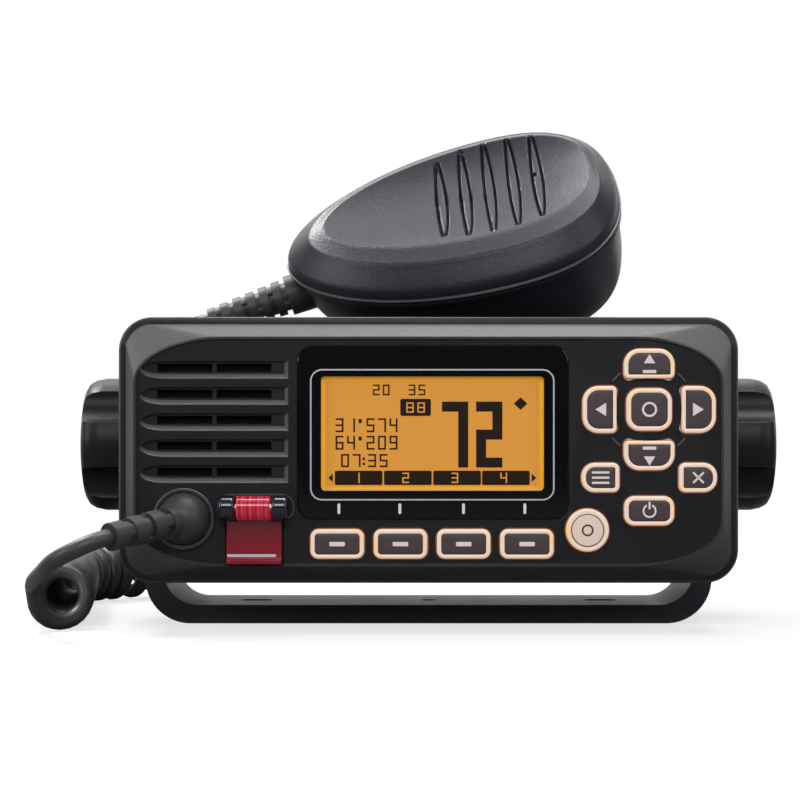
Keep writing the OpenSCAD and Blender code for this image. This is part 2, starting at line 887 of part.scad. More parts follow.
module radio_cord_boot() {
    step = boot_len / boot_rings;
    color([0.13, 0.13, 0.14]) {
        translate([gland_x, 0, gland_z]) {
            rod_y(face_y - 0.4, gland_sleeve_end - 0.2, boot_neck_r - 0.1);
            intersection() {
                translate([0, face_y - 0.6, 0])
                    sphere(dome_r);
                rod_y(face_y - dome_r - past, face_y - 0.4, dome_r);
            }
        }
        translate(boot_from)
            rotate([0, 0, -boot_turn])
                rotate([90 + boot_dip, 0, 0]) {
                    cylinder(h = boot_len, r = boot_tip_r - 0.7);
                    for (i = [1:boot_rings]) {
                        r = boot_neck_r + (boot_tip_r - boot_neck_r) * i / boot_rings;
                        translate([0, 0, (i - boot_ring_share) * step])
                            cylinder(h = step * boot_ring_share, r = r);
                        translate([0, 0, (i - 1) * step])
                            rotate([0, 0, boot_bridge_turn + 90 * i])
                                boot_bridges(step * (1 - boot_ring_share), r);
                    }
                }
    }
}

// ---- Chassis ----

module panel_gasket() {
    w = panel_w - 2 * opening_margin + 3;
    h = panel_h - opening_margin + 1.6;
    color([0.08, 0.08, 0.08])
        translate([0, 0, panel_cz])
            facing(panel_back_y, chassis_y)
                difference() {
                    round_rect(w, h, 4);
                    round_rect(w - 3, h - 2.4, 3);
                }
}

module rear_fins() {
    count = floor((chassis_w / 2 - chassis_r - fin_t) / fin_pitch);
    for (i = [-count:count])
        translate([i * fin_pitch - fin_t / 2, fin_y - past, chassis_z + chassis_r])
            cube([fin_t, fin_d + past, chassis_h - 2 * chassis_r]);
}

module chassis() {
    inner_w = chassis_w - 2 * chassis_wall;
    inner_h = chassis_h - 2 * chassis_wall;
    lead_z = min(power_z, data_z);
    color([0.12, 0.12, 0.13])
        difference() {
            union() {
                translate([0, 0, chassis_cz])
                    facing(chassis_y, fin_y)
                        round_rect(chassis_w, chassis_h, chassis_r);
                rear_fins();
                translate([socket_x, 0, socket_z])
                    rod_y(fin_y - past, fin_y + pad_plate, socket_flange_r + 2);
                translate([power_x, 0, power_z])
                    rod_y(fin_y - past, fin_y + pad_plate, power_r + 4);
                translate([data_x, 0, data_z])
                    rod_y(fin_y - past, fin_y + pad_plate, data_r + 4);
            }
            difference() {
                translate([0, 0, chassis_cz])
                    facing(chassis_y - past, fin_y - chassis_wall)
                        round_rect(inner_w, inner_h, chassis_r - 1);
                for (side = [-1, 1])
                    translate([side * (chassis_w / 2 - pivot_boss_d / 2), 0, pivot_z])
                        rod_x(-pivot_boss_d / 2, pivot_boss_d / 2, pivot_boss_r);
            }
            for (side = [-1, 1])
                translate([side * chassis_w / 2, 0, pivot_z])
                    rod_x(-pivot_boss_d - past, pivot_boss_d + past, stud_d / 2 + turn_gap);
            for (i = [-groove_pairs:groove_pairs])
                translate([i * groove_pitch - groove_w / 2, chassis_y + groove_end,
                        chassis_top - groove_d])
                    cube([groove_w, fin_y - chassis_y - 2 * groove_end, groove_d + past]);
            translate([socket_x, 0, socket_z]) {
                rod_y(fin_y + pad_plate, chassis_back + past, socket_flange_r + 2);
                rod_y(fin_y - 2 * chassis_wall, fin_y + pad_plate + past, socket_r - 1);
            }
            translate([power_x, 0, power_z]) {
                rod_y(fin_y + pad_plate, chassis_back + past, power_r + 4);
                rod_y(fin_y - 2 * chassis_wall, fin_y + pad_plate + past, power_r - 2);
            }
            translate([data_x, 0, data_z]) {
                rod_y(fin_y + pad_plate, chassis_back + past, data_r + 4);
                rod_y(fin_y - 2 * chassis_wall, fin_y + pad_plate + past, data_r - 1.5);
            }
            for (sx = [-1, 1], sz = [-1, 1])
                translate([sx * screw_dx, 0, chassis_cz + sz * screw_dz]) {
                    rod_y(fin_y - screw_len - screw_spare, chassis_back + past, screw_r);
                    rod_y(fin_y, chassis_back + past, screw_head_r + screw_head_gap);
                }
        }
}

module chassis_screws() {
    color([0.6, 0.6, 0.62])
        for (sx = [-1, 1], sz = [-1, 1])
            translate([sx * screw_dx, 0, chassis_cz + sz * screw_dz])
                difference() {
                    union() {
                        rod_y(fin_y - screw_len, fin_y, screw_r);
                        rod_y(fin_y, fin_y + screw_head_t, screw_head_r);
                    }
                    facing(fin_y + screw_head_t - screw_slot_d, fin_y + screw_head_t + past) {
                        square([screw_head_r * 1.2, screw_slot_w], center = true);
                        square([screw_slot_w, screw_head_r * 1.2], center = true);
                    }
                }
}

module main_board() {
    width = chassis_w - 2 * (chassis_wall + board_side);
    depth = fin_y - chassis_wall - chassis_y - board_front - board_rear;
    low = chassis_z + chassis_wall;
    color([0.1, 0.35, 0.2])
        difference() {
            translate([-width / 2, chassis_y + board_front, low + board_lift])
                cube([width, depth, board_t]);
            for (sx = [-1, 1])
                translate([sx * screw_dx - board_notch[0] / 2, fin_y - chassis_wall - board_notch[1], low])
                    cube([board_notch[0], board_notch[1], board_lift + board_t + past]);
        }
    color([0.5, 0.5, 0.5])
        for (side = [-1, 1])
            translate([side * (width / 2 - 2 * coil_block) - coil_block / 2, chassis_y + 2 * coil_block, low])
                cube([coil_block, coil_block, board_lift]);
}

module antenna_socket() {
    y = fin_y + pad_plate;
    color([0.78, 0.78, 0.8])
        translate([socket_x, 0, socket_z])
            difference() {
                union() {
                    rod_y(y, y + 1.8, socket_flange_r);
                    rod_y(y, y + socket_len, socket_r);
                    rod_y(fin_y - chassis_wall, y, socket_r - 1.1);
                }
                rod_y(fin_y - chassis_wall - past, y + socket_len + past, socket_core_r);
            }
}

module antenna_insulator() {
    y = fin_y + pad_plate;
    color([0.9, 0.88, 0.8])
        translate([socket_x, 0, socket_z])
            difference() {
                rod_y(fin_y - chassis_wall, y + socket_len - 2, socket_core_r);
                rod_y(y, y + socket_len, socket_pin_r);
            }
}

module rear_gland(x, z, r, inner) {
    y = fin_y + pad_plate;
    color([0.07, 0.07, 0.08])
        translate([x, 0, z])
            difference() {
                union() {
                    rod_y(fin_y - chassis_wall, y, inner);
                    rod_y(y, y + 2.4, r);
                    rod_y(y + 2.4, y + gland_out, r - 1, r * 0.62);
                }
                rod_y(y + 2, y + gland_out + past, r * 0.35);
            }
}

module power_gland() {
    rear_gland(power_x, power_z, power_r, power_r - 2.1);
}

module data_gland() {
    rear_gland(data_x, data_z, data_r, data_r - 1.6);
}

// ---- Bracket and clamp knobs ----

// Outline of the bracket's bent strip, seen from the front
module strip_outline() {
    difference() {
        union() {
            translate([-arm_out, bracket_r])
                square([2 * arm_out, pivot_z + arm_top_r - bracket_r]);
            translate([-arm_out + bracket_r, 0])
                square([2 * (arm_out - bracket_r), bracket_r + 1]);
            for (side = [-1, 1])
                translate([side * (arm_out - bracket_r), bracket_r])
                    circle(bracket_r, $fn = 96);
        }
        translate([-arm_in, bracket_t + bracket_inner_r])
            square([2 * arm_in, pivot_z + arm_top_r]);
        translate([-arm_in + bracket_inner_r, bracket_t])
            square([2 * (arm_in - bracket_inner_r), pivot_z]);
        for (side = [-1, 1])
            translate([side * (arm_in - bracket_inner_r), bracket_t + bracket_inner_r])
                circle(bracket_inner_r, $fn = 96);
    }
}

// Outline of an arm seen from the side, as wide as the strip below and round at its top
module arm_outline() {
    shoulder = 20;
    translate([-bracket_d / 2, -past])
        square([bracket_d, shoulder + past]);
    translate([0, pivot_z])
        circle(arm_top_r, $fn = 96);
    polygon([
        [-bracket_d / 2, shoulder - 1],
        [bracket_d / 2, shoulder - 1],
        [bracket_d / 2, shoulder],
        [arm_top_r, pivot_z],
        [-arm_top_r, pivot_z],
        [-bracket_d / 2, shoulder],
    ]);
}

module base_slot(length, width) {
    square([length - width, width], center = true);
    for (side = [-1, 1])
        translate([side * (length - width) / 2, 0])
            circle(width / 2);
}

module bracket() {
    color([0.13, 0.13, 0.16])
        difference() {
            intersection() {
                facing(-bracket_d / 2, bracket_d / 2)
                    strip_outline();
                translate([-arm_out - 1, 0, 0])
                    rotate([90, 0, 90])
                        linear_extrude(2 * arm_out + 2)
                            arm_outline();
            }
            for (side = [-1, 1])
                translate([side * base_spacing / 2, 0, -past])
                    linear_extrude(bracket_t + 2 * past)
                        base_slot(base_slot_len, base_slot_w);
            translate([0, 0, -past])
                cylinder(h = bracket_t + 2 * past, d = base_hole_d);
            translate([0, 0, pivot_z])
                rod_x(-arm_out - past, arm_out + past, arm_hole_r);
        }
}

module pivot_pads() {
    color([0.05, 0.05, 0.05])
        translate([0, 0, pivot_z])
            for (side = [-1, 1])
                translate([side * (arm_in - pad_t / 2), 0, 0])
                    difference() {
                        rod_x(-pad_t / 2, pad_t / 2, pad_r);
                        rod_x(-arm_in, arm_in, arm_hole_r);
                    }
}

// Clamp knob on the +X side, with its bore for the stud
module clamp_knob() {
    hollow_deg = 360 / knob_lobes;
    profile = [
        [0, 0],
        [knob_r - 3, 0],
        [knob_r, 2.4],
        [knob_r, knob_w - knob_edge * 2],
        [knob_r - 0.5, knob_w - knob_edge],
        [knob_r - 1.4, knob_w - knob_edge / 2.6],
        [knob_r - knob_edge, knob_w - 0.3],
        [knob_r - knob_edge - 1.6, knob_w],
        [0, knob_w],
    ];
    color([0.12, 0.12, 0.14])
        translate([knob_in, 0, pivot_z])
            rotate([0, 90, 0])
                difference() {
                    rotate_extrude($fn = 96)
                        polygon(profile);
                    for (i = [0:knob_lobes - 1])
                        rotate([0, 0, -90 + hollow_deg * (i + 0.5)])
                            translate([knob_r + flute_r - flute_depth, 0, -past])
                                cylinder(h = knob_w + 2 * past, r = flute_r);
                    translate([0, 0, -past])
                        cylinder(h = stud_seat + past, d = stud_d);
                    translate([0, 0, knob_w - knob_ring_d])
                        difference() {
                            cylinder(h = knob_ring_d + past, r = knob_ring_r + knob_ring_w / 2);
                            cylinder(h = knob_ring_d + past, r = knob_ring_r - knob_ring_w / 2);
                        }
                }
}

// Stud on the +X side, from its seat in the knob to its end in the chassis' boss
module clamp_stud() {
    color([0.7, 0.7, 0.72])
        translate([0, 0, pivot_z])
            rod_x(stud_tip, knob_in + stud_seat, stud_d / 2);
}

module knob_right() clamp_knob();
module knob_left() mirror([1, 0, 0]) clamp_knob();
module stud_right() clamp_stud();
module stud_left() mirror([1, 0, 0]) clamp_stud();

// ---- Microphone ----

// Ring of the microphone's egg outline: how far it is drawn in at the head, the cord end and
// the sides, its height, and how far that height leans with the length
function mic_ring(head_in, tail_in, side_in, z, lean) = [
    for (i = [0:mic_points - 1])
        let (
            a = 360 * i / mic_points,
            ahead = cos(a) >= 0,
            p = ahead ? head_power : tail_power,
            k = pow(pow(abs(cos(a)), p) + pow(abs(sin(a)), p), -1 / p),
            x = mic_wide_at + (ahead ? mic_head - head_in : mic_tail - tail_in) * k * cos(a),
            y = (mic_half_w - side_in) * k * sin(a)
        )
        [x, y, z * (1 + lean * x)]
];

module placed_mic() {
    translate(mic_place)
        rotate(mic_turn)
            children();
}

// Leaf-shaped outline of a slot in the microphone's face
module leaf(length, width) {
    r = (length * length / 4 + width * width / 4) / width;
    intersection() {
        translate([r - width / 2, 0])
            circle(r, $fn = 96);
        translate([width / 2 - r, 0])
            circle(r, $fn = 96);
    }
}

module mic_face_cuts() {
    for (i = [0:mic_slots - 1])
        translate([mic_slot_x + (i - (mic_slots - 1) / 2) * mic_slot_pitch, mic_slot_y,
                mic_face - dish_depth - mic_slot_depth])
            rotate([0, 0, mic_slot_lean])
                linear_extrude(mic_slot_depth + dish_depth + past)
                    leaf(mic_slot_len - mic_slot_fall * pow(i - mic_slot_longest, 2), mic_slot_w);
    translate([mic_slot_x + 1.9 * mic_slot_pitch, 4, -1])
        cylinder(h = mic_face + 2, r = 0.6);
}

module mic_front_shell() {
    rim = mic_face;
    color([0.27, 0.29, 0.33])
        placed_mic()
            difference() {
                loft([
                    mic_ring(0.8, 0.8, 0.8, -flange_side, 0),
                    mic_ring(0, 0, 0, 0.4 - flange_side, 0),
                    mic_ring(0, 0, 0, -0.8, 0),
                    mic_ring(0.5, 0.5, 0.5, 0.4, 0),
                    mic_ring(1.8, 2.2, 2, 1.6, 0),
                    mic_ring(4.2, 8, 6.6, rim - 0.6, 0),
                    mic_ring(5.2, 10, 8, rim, 0),
                    mic_ring(6, 13.2, 10.6, rim - dish_depth * 0.8, 0),
                    mic_ring(13, 26, 18, rim - dish_depth, 0),
                ]);
                loft([
                    mic_ring(mic_wall, mic_wall, mic_wall, -flange_side - past, 0),
                    mic_ring(mic_wall, mic_wall, mic_wall, -0.8, 0),
                    mic_ring(5, 8, 7, 1.8, 0),
                    mic_ring(12, 20, 14, rim - dish_depth - mic_slot_depth - 1, 0),
                ]);
                mic_face_cuts();
            }
}

function back_ring(head_in, tail_in, side_in, z) = mic_ring(head_in, tail_in, side_in, z, back_slant);

module mic_back_shell() {
    color([0.25, 0.27, 0.31])
        placed_mic()
            difference() {
                union() {
                    mic_back_wall();
                    mic_bosses();
                }
                for (p = mic_screw_places)
                    translate([p[0], p[1], mic_back_at(p[0]) - past])
                        cylinder(h = past + mic_screw_inset + mic_screw_len, r = screw_r);
            }
}

module mic_back_wall() {
    top = -flange_side;
    deep = -mic_back;
    difference() {
        loft([
            back_ring(17, 24, 16, deep),
            back_ring(11, 15, 10.5, deep + 0.8),
            back_ring(6.5, 8.5, 7, deep + 3),
            back_ring(3.4, 5, 4.6, deep + 7.5),
            back_ring(1.8, 3, 2.8, deep + 14),
            back_ring(1.2, 1.6, 1.6, top - 3),
            mic_ring(1.2, 1.6, 1.6, top, 0),
        ]);
        loft([
            back_ring(12, 16, 12, deep + mic_wall + 0.6),
            back_ring(7, 9, 8, deep + 6),
            back_ring(4.4, 5.6, 5.4, deep + 14),
            mic_ring(4, 4.4, 4.4, top + past, 0),
        ]);
        talk_opening();
        translate([hanger_x, 0, 1.2 * deep])
            cylinder(h = -0.6 * deep, r = hanger_stem_r);
        translate(mic_boot_at)
            rotate(mic_boot_turn)
                translate([0, 0, -mic_boot_inside - rest_gap])
                    cylinder(h = 3 * mic_boot_inside, r = mic_boot_r + 0.1);
    }
}

function mic_back_at(x) = -mic_back * (1 + back_slant * x);

module mic_bosses() {
    for (p = mic_screw_places)
        translate([p[0], p[1], mic_back_at(p[0]) + mic_wall])
            cylinder(h = mic_board_z - mic_back_at(p[0]) - mic_wall, r = mic_boss_r);
}

module talk_opening() {
    translate([talk_x, mic_half_w, talk_z])
        rotate([90, 0, 0])
            linear_extrude(12)
                round_rect(talk_len + 2 * rest_gap, talk_h + 2 * rest_gap, 3);
}

module mic_talk_button() {
    color([0.12, 0.12, 0.13])
        placed_mic()
            translate([talk_x, mic_half_w - talk_flush, talk_z])
                rotate([90, 0, 0]) {
                    translate([0, 0, -talk_travel])
                        linear_extrude(talk_travel + talk_depth)
                            round_rect(talk_len, talk_h, 2.7);
                    translate([0, 0, talk_depth])
                        linear_extrude(talk_flange)
                            round_rect(talk_len - 2, talk_h, 2.7);
                }
}

module mic_board() {
    color([0.1, 0.35, 0.2])
        placed_mic()
            translate([mic_wide_at - mic_board_tail, -mic_board_w / 2, mic_board_z])
                cube([mic_board_len, mic_board_w, board_t]);
}

module mic_capsule() {
    color([0.65, 0.65, 0.66])
        placed_mic()
            translate([mic_slot_x + 1.9 * mic_slot_pitch, 4, mic_board_z + board_t])
                cylinder(h = 5, r = 4.8);
}

module mic_hanger_button() {
    color([0.6, 0.6, 0.62])
        placed_mic()
            translate([hanger_x, 0, mic_back_at(hanger_x)]) {
                translate([0, 0, -2.6])
                    cylinder(h = 8, r = hanger_stem_r);
                translate([0, 0, -5])
                    cylinder(h = 2.4, r = hanger_r);
            }
}

module mic_screws() {
    color([0.5, 0.5, 0.52])
        placed_mic()
            for (p = mic_screw_places)
                translate([p[0], p[1], mic_back_at(p[0]) + mic_screw_inset])
                    cylinder(h = mic_screw_len, r = screw_r);
}

module mic_boot() {
    step = mic_boot_len / (mic_boot_ribs + 1);
    color([0.14, 0.14, 0.15])
        placed_mic()
            translate(mic_boot_at)
                rotate(mic_boot_turn) {
                    cylinder(h = mic_boot_len, r1 = mic_boot_r - 1.6, r2 = mic_boot_tip_r - 0.9);
                    translate([0, 0, -mic_boot_inside])
                        cylinder(h = step + mic_boot_inside, r = mic_boot_r);
                    for (i = [1:mic_boot_ribs]) {
                        r = mic_boot_r + (mic_boot_tip_r - mic_boot_r) * (i + 1) / (mic_boot_ribs + 1);
                        translate([0, 0, (i + 1 - mic_boot_share) * step])
                            cylinder(h = step * mic_boot_share, r = r);
                        translate([0, 0, i * step])
                            rotate([0, 0, 90 * i])
                                boot_bridges(step * (1 - mic_boot_share), r);
                    }
                }
}

// ---- Cord ----

// Tube through a list of places, with a ring at each, square to the way there
module tube(places, ways, reference, r, sides) {
    loft([
        for (k = [0:len(places) - 1])
            let (
                t = unit(ways[k]),
                a = unit(cross(reference, t)),
                b = cross(t, a)
            )
            [for (i = [0:sides - 1])
                places[k] + r * (cos(360 * i / sides) * a + sin(360 * i / sides) * b)]
    ]);
}

// Ways along a route: its own first and last ones, and between them towards the next place
function ways_along(route, first, last) = [
    for (k = [0:len(route) - 1])
        k == 0 ? first : k == len(route) - 1 ? last
            : unit(route[k + 1] - route[k]) + unit(route[k] - route[k - 1])
];

// The coil's axis: straight back, a bend to the right and then one upwards, and straight up
// behind the bracket's arm, where the coil hangs from the plain cord that goes over the chassis
bend_run = bend_r * bend_deg * PI / 180;
climb_run = climb_r * PI / 2;
straight_curls = first_run / curl_pitch;
bent_curls = (bend_run + climb_run) / bend_pitch;
coil_curls = floor(straight_curls + bent_curls + last_run / curl_pitch)
    + (coil_end_deg - coil_phase) / 360;

// How far along its axis the coil is after a number of curls, its first and last drawn out
function run_after(curls) =
    curls < straight_curls ? curls * curl_pitch
        : curls < straight_curls + bent_curls ? first_run + (curls - straight_curls) * bend_pitch
        : first_run + bend_run + climb_run + (curls - straight_curls - bent_curls) * curl_pitch;
function drawn_out(curls) =
    drawn_up * pow(max(0, curls - coil_curls + 1), 2) - drawn_in * pow(max(0, 1 - curls), 2);

function share(x, from, length) = max(0, min(1, (x - from) / length));
function axis_turn(run) = lead_turn_deg - bend_deg * share(run, first_run, bend_run);
function axis_climb(run) = 90 * share(run, first_run + bend_run, climb_run);
function axis_across(run) = [cos(axis_turn(run)), sin(axis_turn(run)), 0];
function axis_ahead(run) = [-sin(axis_turn(run)), cos(axis_turn(run)), 0];
function axis_above(run) = cos(axis_climb(run)) * [0, 0, 1] - sin(axis_climb(run)) * axis_ahead(run);
function axis_place(run) =
    [coil_start[0], coil_start[1], coil_z]
        + min(run, first_run) * axis_ahead(0)
        + bend_r * (axis_across(0) - axis_across(run))
        + climb_r * sin(axis_climb(run)) * axis_ahead(run)
        + (climb_r * (1 - cos(axis_climb(run))) + max(0, run - first_run - bend_run - climb_run))
            * [0, 0, 1];

function curl_place(curls) =
    let (run = run_after(curls) + drawn_out(curls), a = coil_phase + 360 * curls)
    axis_place(run) + curl_r * (cos(a) * axis_across(run) + sin(a) * axis_above(run));

function curl_way(curls) = unit(curl_place(curls + 0.002) - curl_place(curls - 0.002));

curl_count = floor(coil_curls * curl_rings);
coil_steps = [for (i = [0:curl_count]) coil_curls * i / curl_count];
coil_in_way = unit(curl_place(0.004) - curl_place(0));
coil_out_way = curl_way(coil_curls);
coil_in = curl_place(0) - end_straight * coil_in_way;
coil_out = curl_place(coil_curls) + end_straight * coil_out_way;
coil_middle = concat([coil_in], [for (c = coil_steps) curl_place(c)], [coil_out]);

coil_split = floor(curl_rings * (straight_curls + bend_run / bend_pitch));

// Each ring's sides are counted from the direction away from the coil's axis
module coil_part(first, last) {
    color([0.2, 0.19, 0.21])
        loft([
            for (k = [first:last])
                let (
                    c = coil_steps[max(0, min(k - 1, curl_count))],
                    t = k == 0 || k == 1 ? coil_in_way
                        : k >= len(coil_middle) - 2 ? coil_out_way : curl_way(c),
                    run = run_after(c),
                    turn = coil_phase + 360 * c,
                    outward = cos(turn) * axis_across(run) + sin(turn) * axis_above(run),
                    b = unit(cross(t, outward)),
                    a = cross(b, t)
                )
                [for (i = [0:cord_sides - 1])
                    coil_middle[k] + cord_r * (cos(360 * i / cord_sides) * a
                        + sin(360 * i / cord_sides) * b)]
        ]);
}

module cord_coil_side() coil_part(0, coil_split);
module cord_coil_rear() coil_part(coil_split, len(coil_middle) - 1);

function point_gap(p, q0, q1) =
    let (d = q1 - q0, s = max(0, min(1, (p - q0) * d / (d * d)))) norm(p - q0 - s * d);
coil_gap = min([
    for (i = [1:len(coil_middle) - 2])
        for (j = [i + curl_rings / 2 + 1:min(i + 2 * curl_rings, len(coil_middle) - 2)])
            point_gap(coil_middle[i], coil_middle[j], coil_middle[j + 1])
]) - cord_d;
echo("least gap between curls", coil_gap);
echo("curls", coil_curls);

// Plain stretches, by hand: from the front boot to the coil, from the coil up behind the
// chassis, and from there along the chassis' top to the microphone's boot
lead_route = concat(
    [boot_to],
    [[-79.1, -69.4, 25], [-81.8, -70.9, 24], [-84.9, -71.3, 22.6], [-88, -70.7, 21.1],
        [-90.6, -69, 19.6], [-92.5, -66.8, 18.2], [-94.6, -63, 16.8], [-96.4, -58.6, 15.8],
        [-97.8, -54.2, 14.9], [-98.6, -50.4, 13.8]],
    [coil_in]
);
drop_end = [-60, 57, 79.4];
drop_end_way = [-0.1, -0.95, -0.25];
drop_route = concat(
    [coil_out],
    [[-63.2, 76.6, 74.6], [-61.6, 72.4, 78.2], [-60.6, 67.6, 80.5], [-60, 62.2, 80.8]],
    [drop_end]
);
boot_tip = mic_place + mic_world([mic_boot_at[0] - mic_boot_len * cos(mic_boot_turn[2]),
    mic_boot_at[1] - mic_boot_len * sin(mic_boot_turn[2]), mic_boot_at[2]]);
boot_tip_way = -mic_world([-cos(mic_boot_turn[2]), -sin(mic_boot_turn[2]), 0]);
tail_route = concat(
    [drop_end],
    [[-61.2, 51, 77.7], [-64.5, 44.2, 77.4], [-69.5, 37.6, 77.5], [-74, 31, 78],
        [-74.8, 24, 79], [-70.8, 18, 80.3]],
    [boot_tip]
);

function turn_x(v, a) = [v[0], v[1] * cos(a) - v[2] * sin(a), v[1] * sin(a) + v[2] * cos(a)];
function turn_y(v, a) = [v[0] * cos(a) + v[2] * sin(a), v[1], v[2] * cos(a) - v[0] * sin(a)];
function turn_z(v, a) = [v[0] * cos(a) - v[1] * sin(a), v[0] * sin(a) + v[1] * cos(a), v[2]];
function mic_world(v) = turn_z(turn_y(turn_x(v, mic_turn[0]), mic_turn[1]), mic_turn[2]);

module cord_stretch(route, first, last, reference) {
    color([0.2, 0.19, 0.21])
        tube(route, ways_along(route, first, last), reference, cord_r, tube_sides);
}

module cord_lead() cord_stretch(lead_route, boot_dir, coil_in_way, [0, 0, 1]);
module cord_drop() cord_stretch(drop_route, coil_out_way, drop_end_way, [1, 0, 0]);
module cord_tail() cord_stretch(tail_route, drop_end_way, boot_tip_way, [0, 0, 1]);

bracket();
pivot_pads();
knob_left();
knob_right();
stud_left();
stud_right();
front_panel();
display_lens();
lcd_panel();
lcd_holder();
keypad_mat();
front_board();
speaker();
speaker_net();
gland_ring();
radio_cord_boot();
hinge_ears();
hinge_pin();
distress_cover();
distress_key();
key_cap(0);  // softkey_1
key_cap(1);  // softkey_2
key_cap(2);  // softkey_3
key_cap(3);  // softkey_4
key_cap(4);  // key_up
key_cap(5);  // key_down
key_cap(6);  // key_left
key_cap(7);  // key_right
key_cap(8);  // key_centre
key_cap(9);  // key_menu
key_cap(10);  // key_clear
key_cap(11);  // key_power
key_cap(12);  // key_round
panel_gasket();
chassis();
chassis_screws();
main_board();
antenna_socket();
antenna_insulator();
power_gland();
data_gland();
mic_front_shell();
mic_back_shell();
mic_board();
mic_capsule();
mic_talk_button();
mic_hanger_button();
mic_screws();
mic_boot();
cord_lead();
cord_coil_side();
cord_coil_rear();
cord_drop();
cord_tail();
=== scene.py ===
"""Looks of a fixed-mount marine VHF radio: case, display, keys, bracket, microphone and cord.

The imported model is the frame, in metres, +Z up and the front towards -Y. Each operator dresses
one group of pieces. Shapes are worked out with numpy as grids of points, given here in
millimetres, and made into meshes whose objects stay at the origin.
"""

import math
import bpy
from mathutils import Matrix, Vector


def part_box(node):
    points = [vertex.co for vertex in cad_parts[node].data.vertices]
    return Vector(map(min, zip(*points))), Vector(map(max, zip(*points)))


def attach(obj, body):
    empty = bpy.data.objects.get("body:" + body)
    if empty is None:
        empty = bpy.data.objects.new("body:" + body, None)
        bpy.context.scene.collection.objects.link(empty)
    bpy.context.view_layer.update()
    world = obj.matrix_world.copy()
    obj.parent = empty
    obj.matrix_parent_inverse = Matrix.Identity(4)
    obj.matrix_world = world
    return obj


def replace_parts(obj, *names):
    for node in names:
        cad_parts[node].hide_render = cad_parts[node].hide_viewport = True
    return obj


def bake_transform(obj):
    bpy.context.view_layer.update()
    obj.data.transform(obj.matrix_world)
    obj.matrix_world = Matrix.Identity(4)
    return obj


bl_info = {
    "name": "Marine radio looks",
    "version": (1, 0, 0),
    "blender": (4, 5, 0),
    "location": "View3D > Sidebar > Marine radio",
    "description": "Dresses the packed model of a marine VHF radio with its finishes",
    "category": "Object",
}

from functools import partial

import bmesh
import bpy
import numpy as np
from mathutils import Vector

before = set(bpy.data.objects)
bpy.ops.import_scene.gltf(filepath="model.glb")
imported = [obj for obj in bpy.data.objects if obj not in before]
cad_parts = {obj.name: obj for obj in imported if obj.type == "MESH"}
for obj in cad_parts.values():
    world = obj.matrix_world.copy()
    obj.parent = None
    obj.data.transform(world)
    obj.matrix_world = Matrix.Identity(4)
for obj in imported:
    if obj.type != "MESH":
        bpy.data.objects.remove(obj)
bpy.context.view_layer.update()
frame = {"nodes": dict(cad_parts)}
NODES = frame["nodes"]
MM = 0.001

# Depths of the front, in millimetres
FACE_Y = -48.0
PLATE_BACK_Y = -45.0
RIM_Y = -45.7
LENS_Y = -48.3
PICTURE_Y = -46.8
KEY_Y = -49.3
FLANGE_Y = -44.7
KEY_BACK_Y = -43.9
GLOW_Y = -47.5

# Boxes on the front, as their left, right, bottom and top, in millimetres
LENS_BOX = (-32.95, 35.15, 28.95, 72.65)
LINE_BOX = (-29.75, 31.65, 33.75, 66.75)
WINDOW_BOX = (-27.0, 29.0, 36.3, 64.85)
POCKET_BOX = (-53.1, -33.8, 28.8, 35.4)
LIP_BAR_BOX = (-50.0, -37.8, 19.9, 20.6)

PAD_MIDDLE = (55.4, 56.6)
PRINT = 0.03


# ---- Sizes and colours that a user would change ----


def length(default_mm, name, description, low_mm=0.01, high_mm=1000.0):
    """A length that a user can set, given in millimetres and kept in metres."""
    return bpy.props.FloatProperty(
        name=name,
        description=description,
        default=default_mm * MM,
        min=low_mm * MM,
        max=high_mm * MM,
        subtype="DISTANCE",
        unit="LENGTH",
        precision=4,
    )


def colour(red, green, blue, name, description):
    """A colour that a user can set, in linear light."""
    return bpy.props.FloatVectorProperty(
        name=name,
        description=description,
        default=(red, green, blue),
        min=0.0,
        max=1.0,
        size=3,
        subtype="COLOR",
    )


class RADIO_PG_sizes(bpy.types.PropertyGroup):
    """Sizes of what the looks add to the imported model"""

    case_edge: length(0.3, "Case edge", "Round on the edges of the moulded front case")
    cast_edge: length(0.35, "Cast edge", "Round on the edges of the die-cast chassis")
    bracket_edge: length(0.5, "Bracket edge", "Round on the edges of the bracket")
    key_rim: length(1.05, "Key rim", "Width of the pale lit rim round each key cap")
    cord_diameter: length(4.2, "Cord diameter", "Diameter of the microphone cord")
    curl_diameter: length(12.4, "Curl diameter", "Diameter of the curls, to the cord's middle")


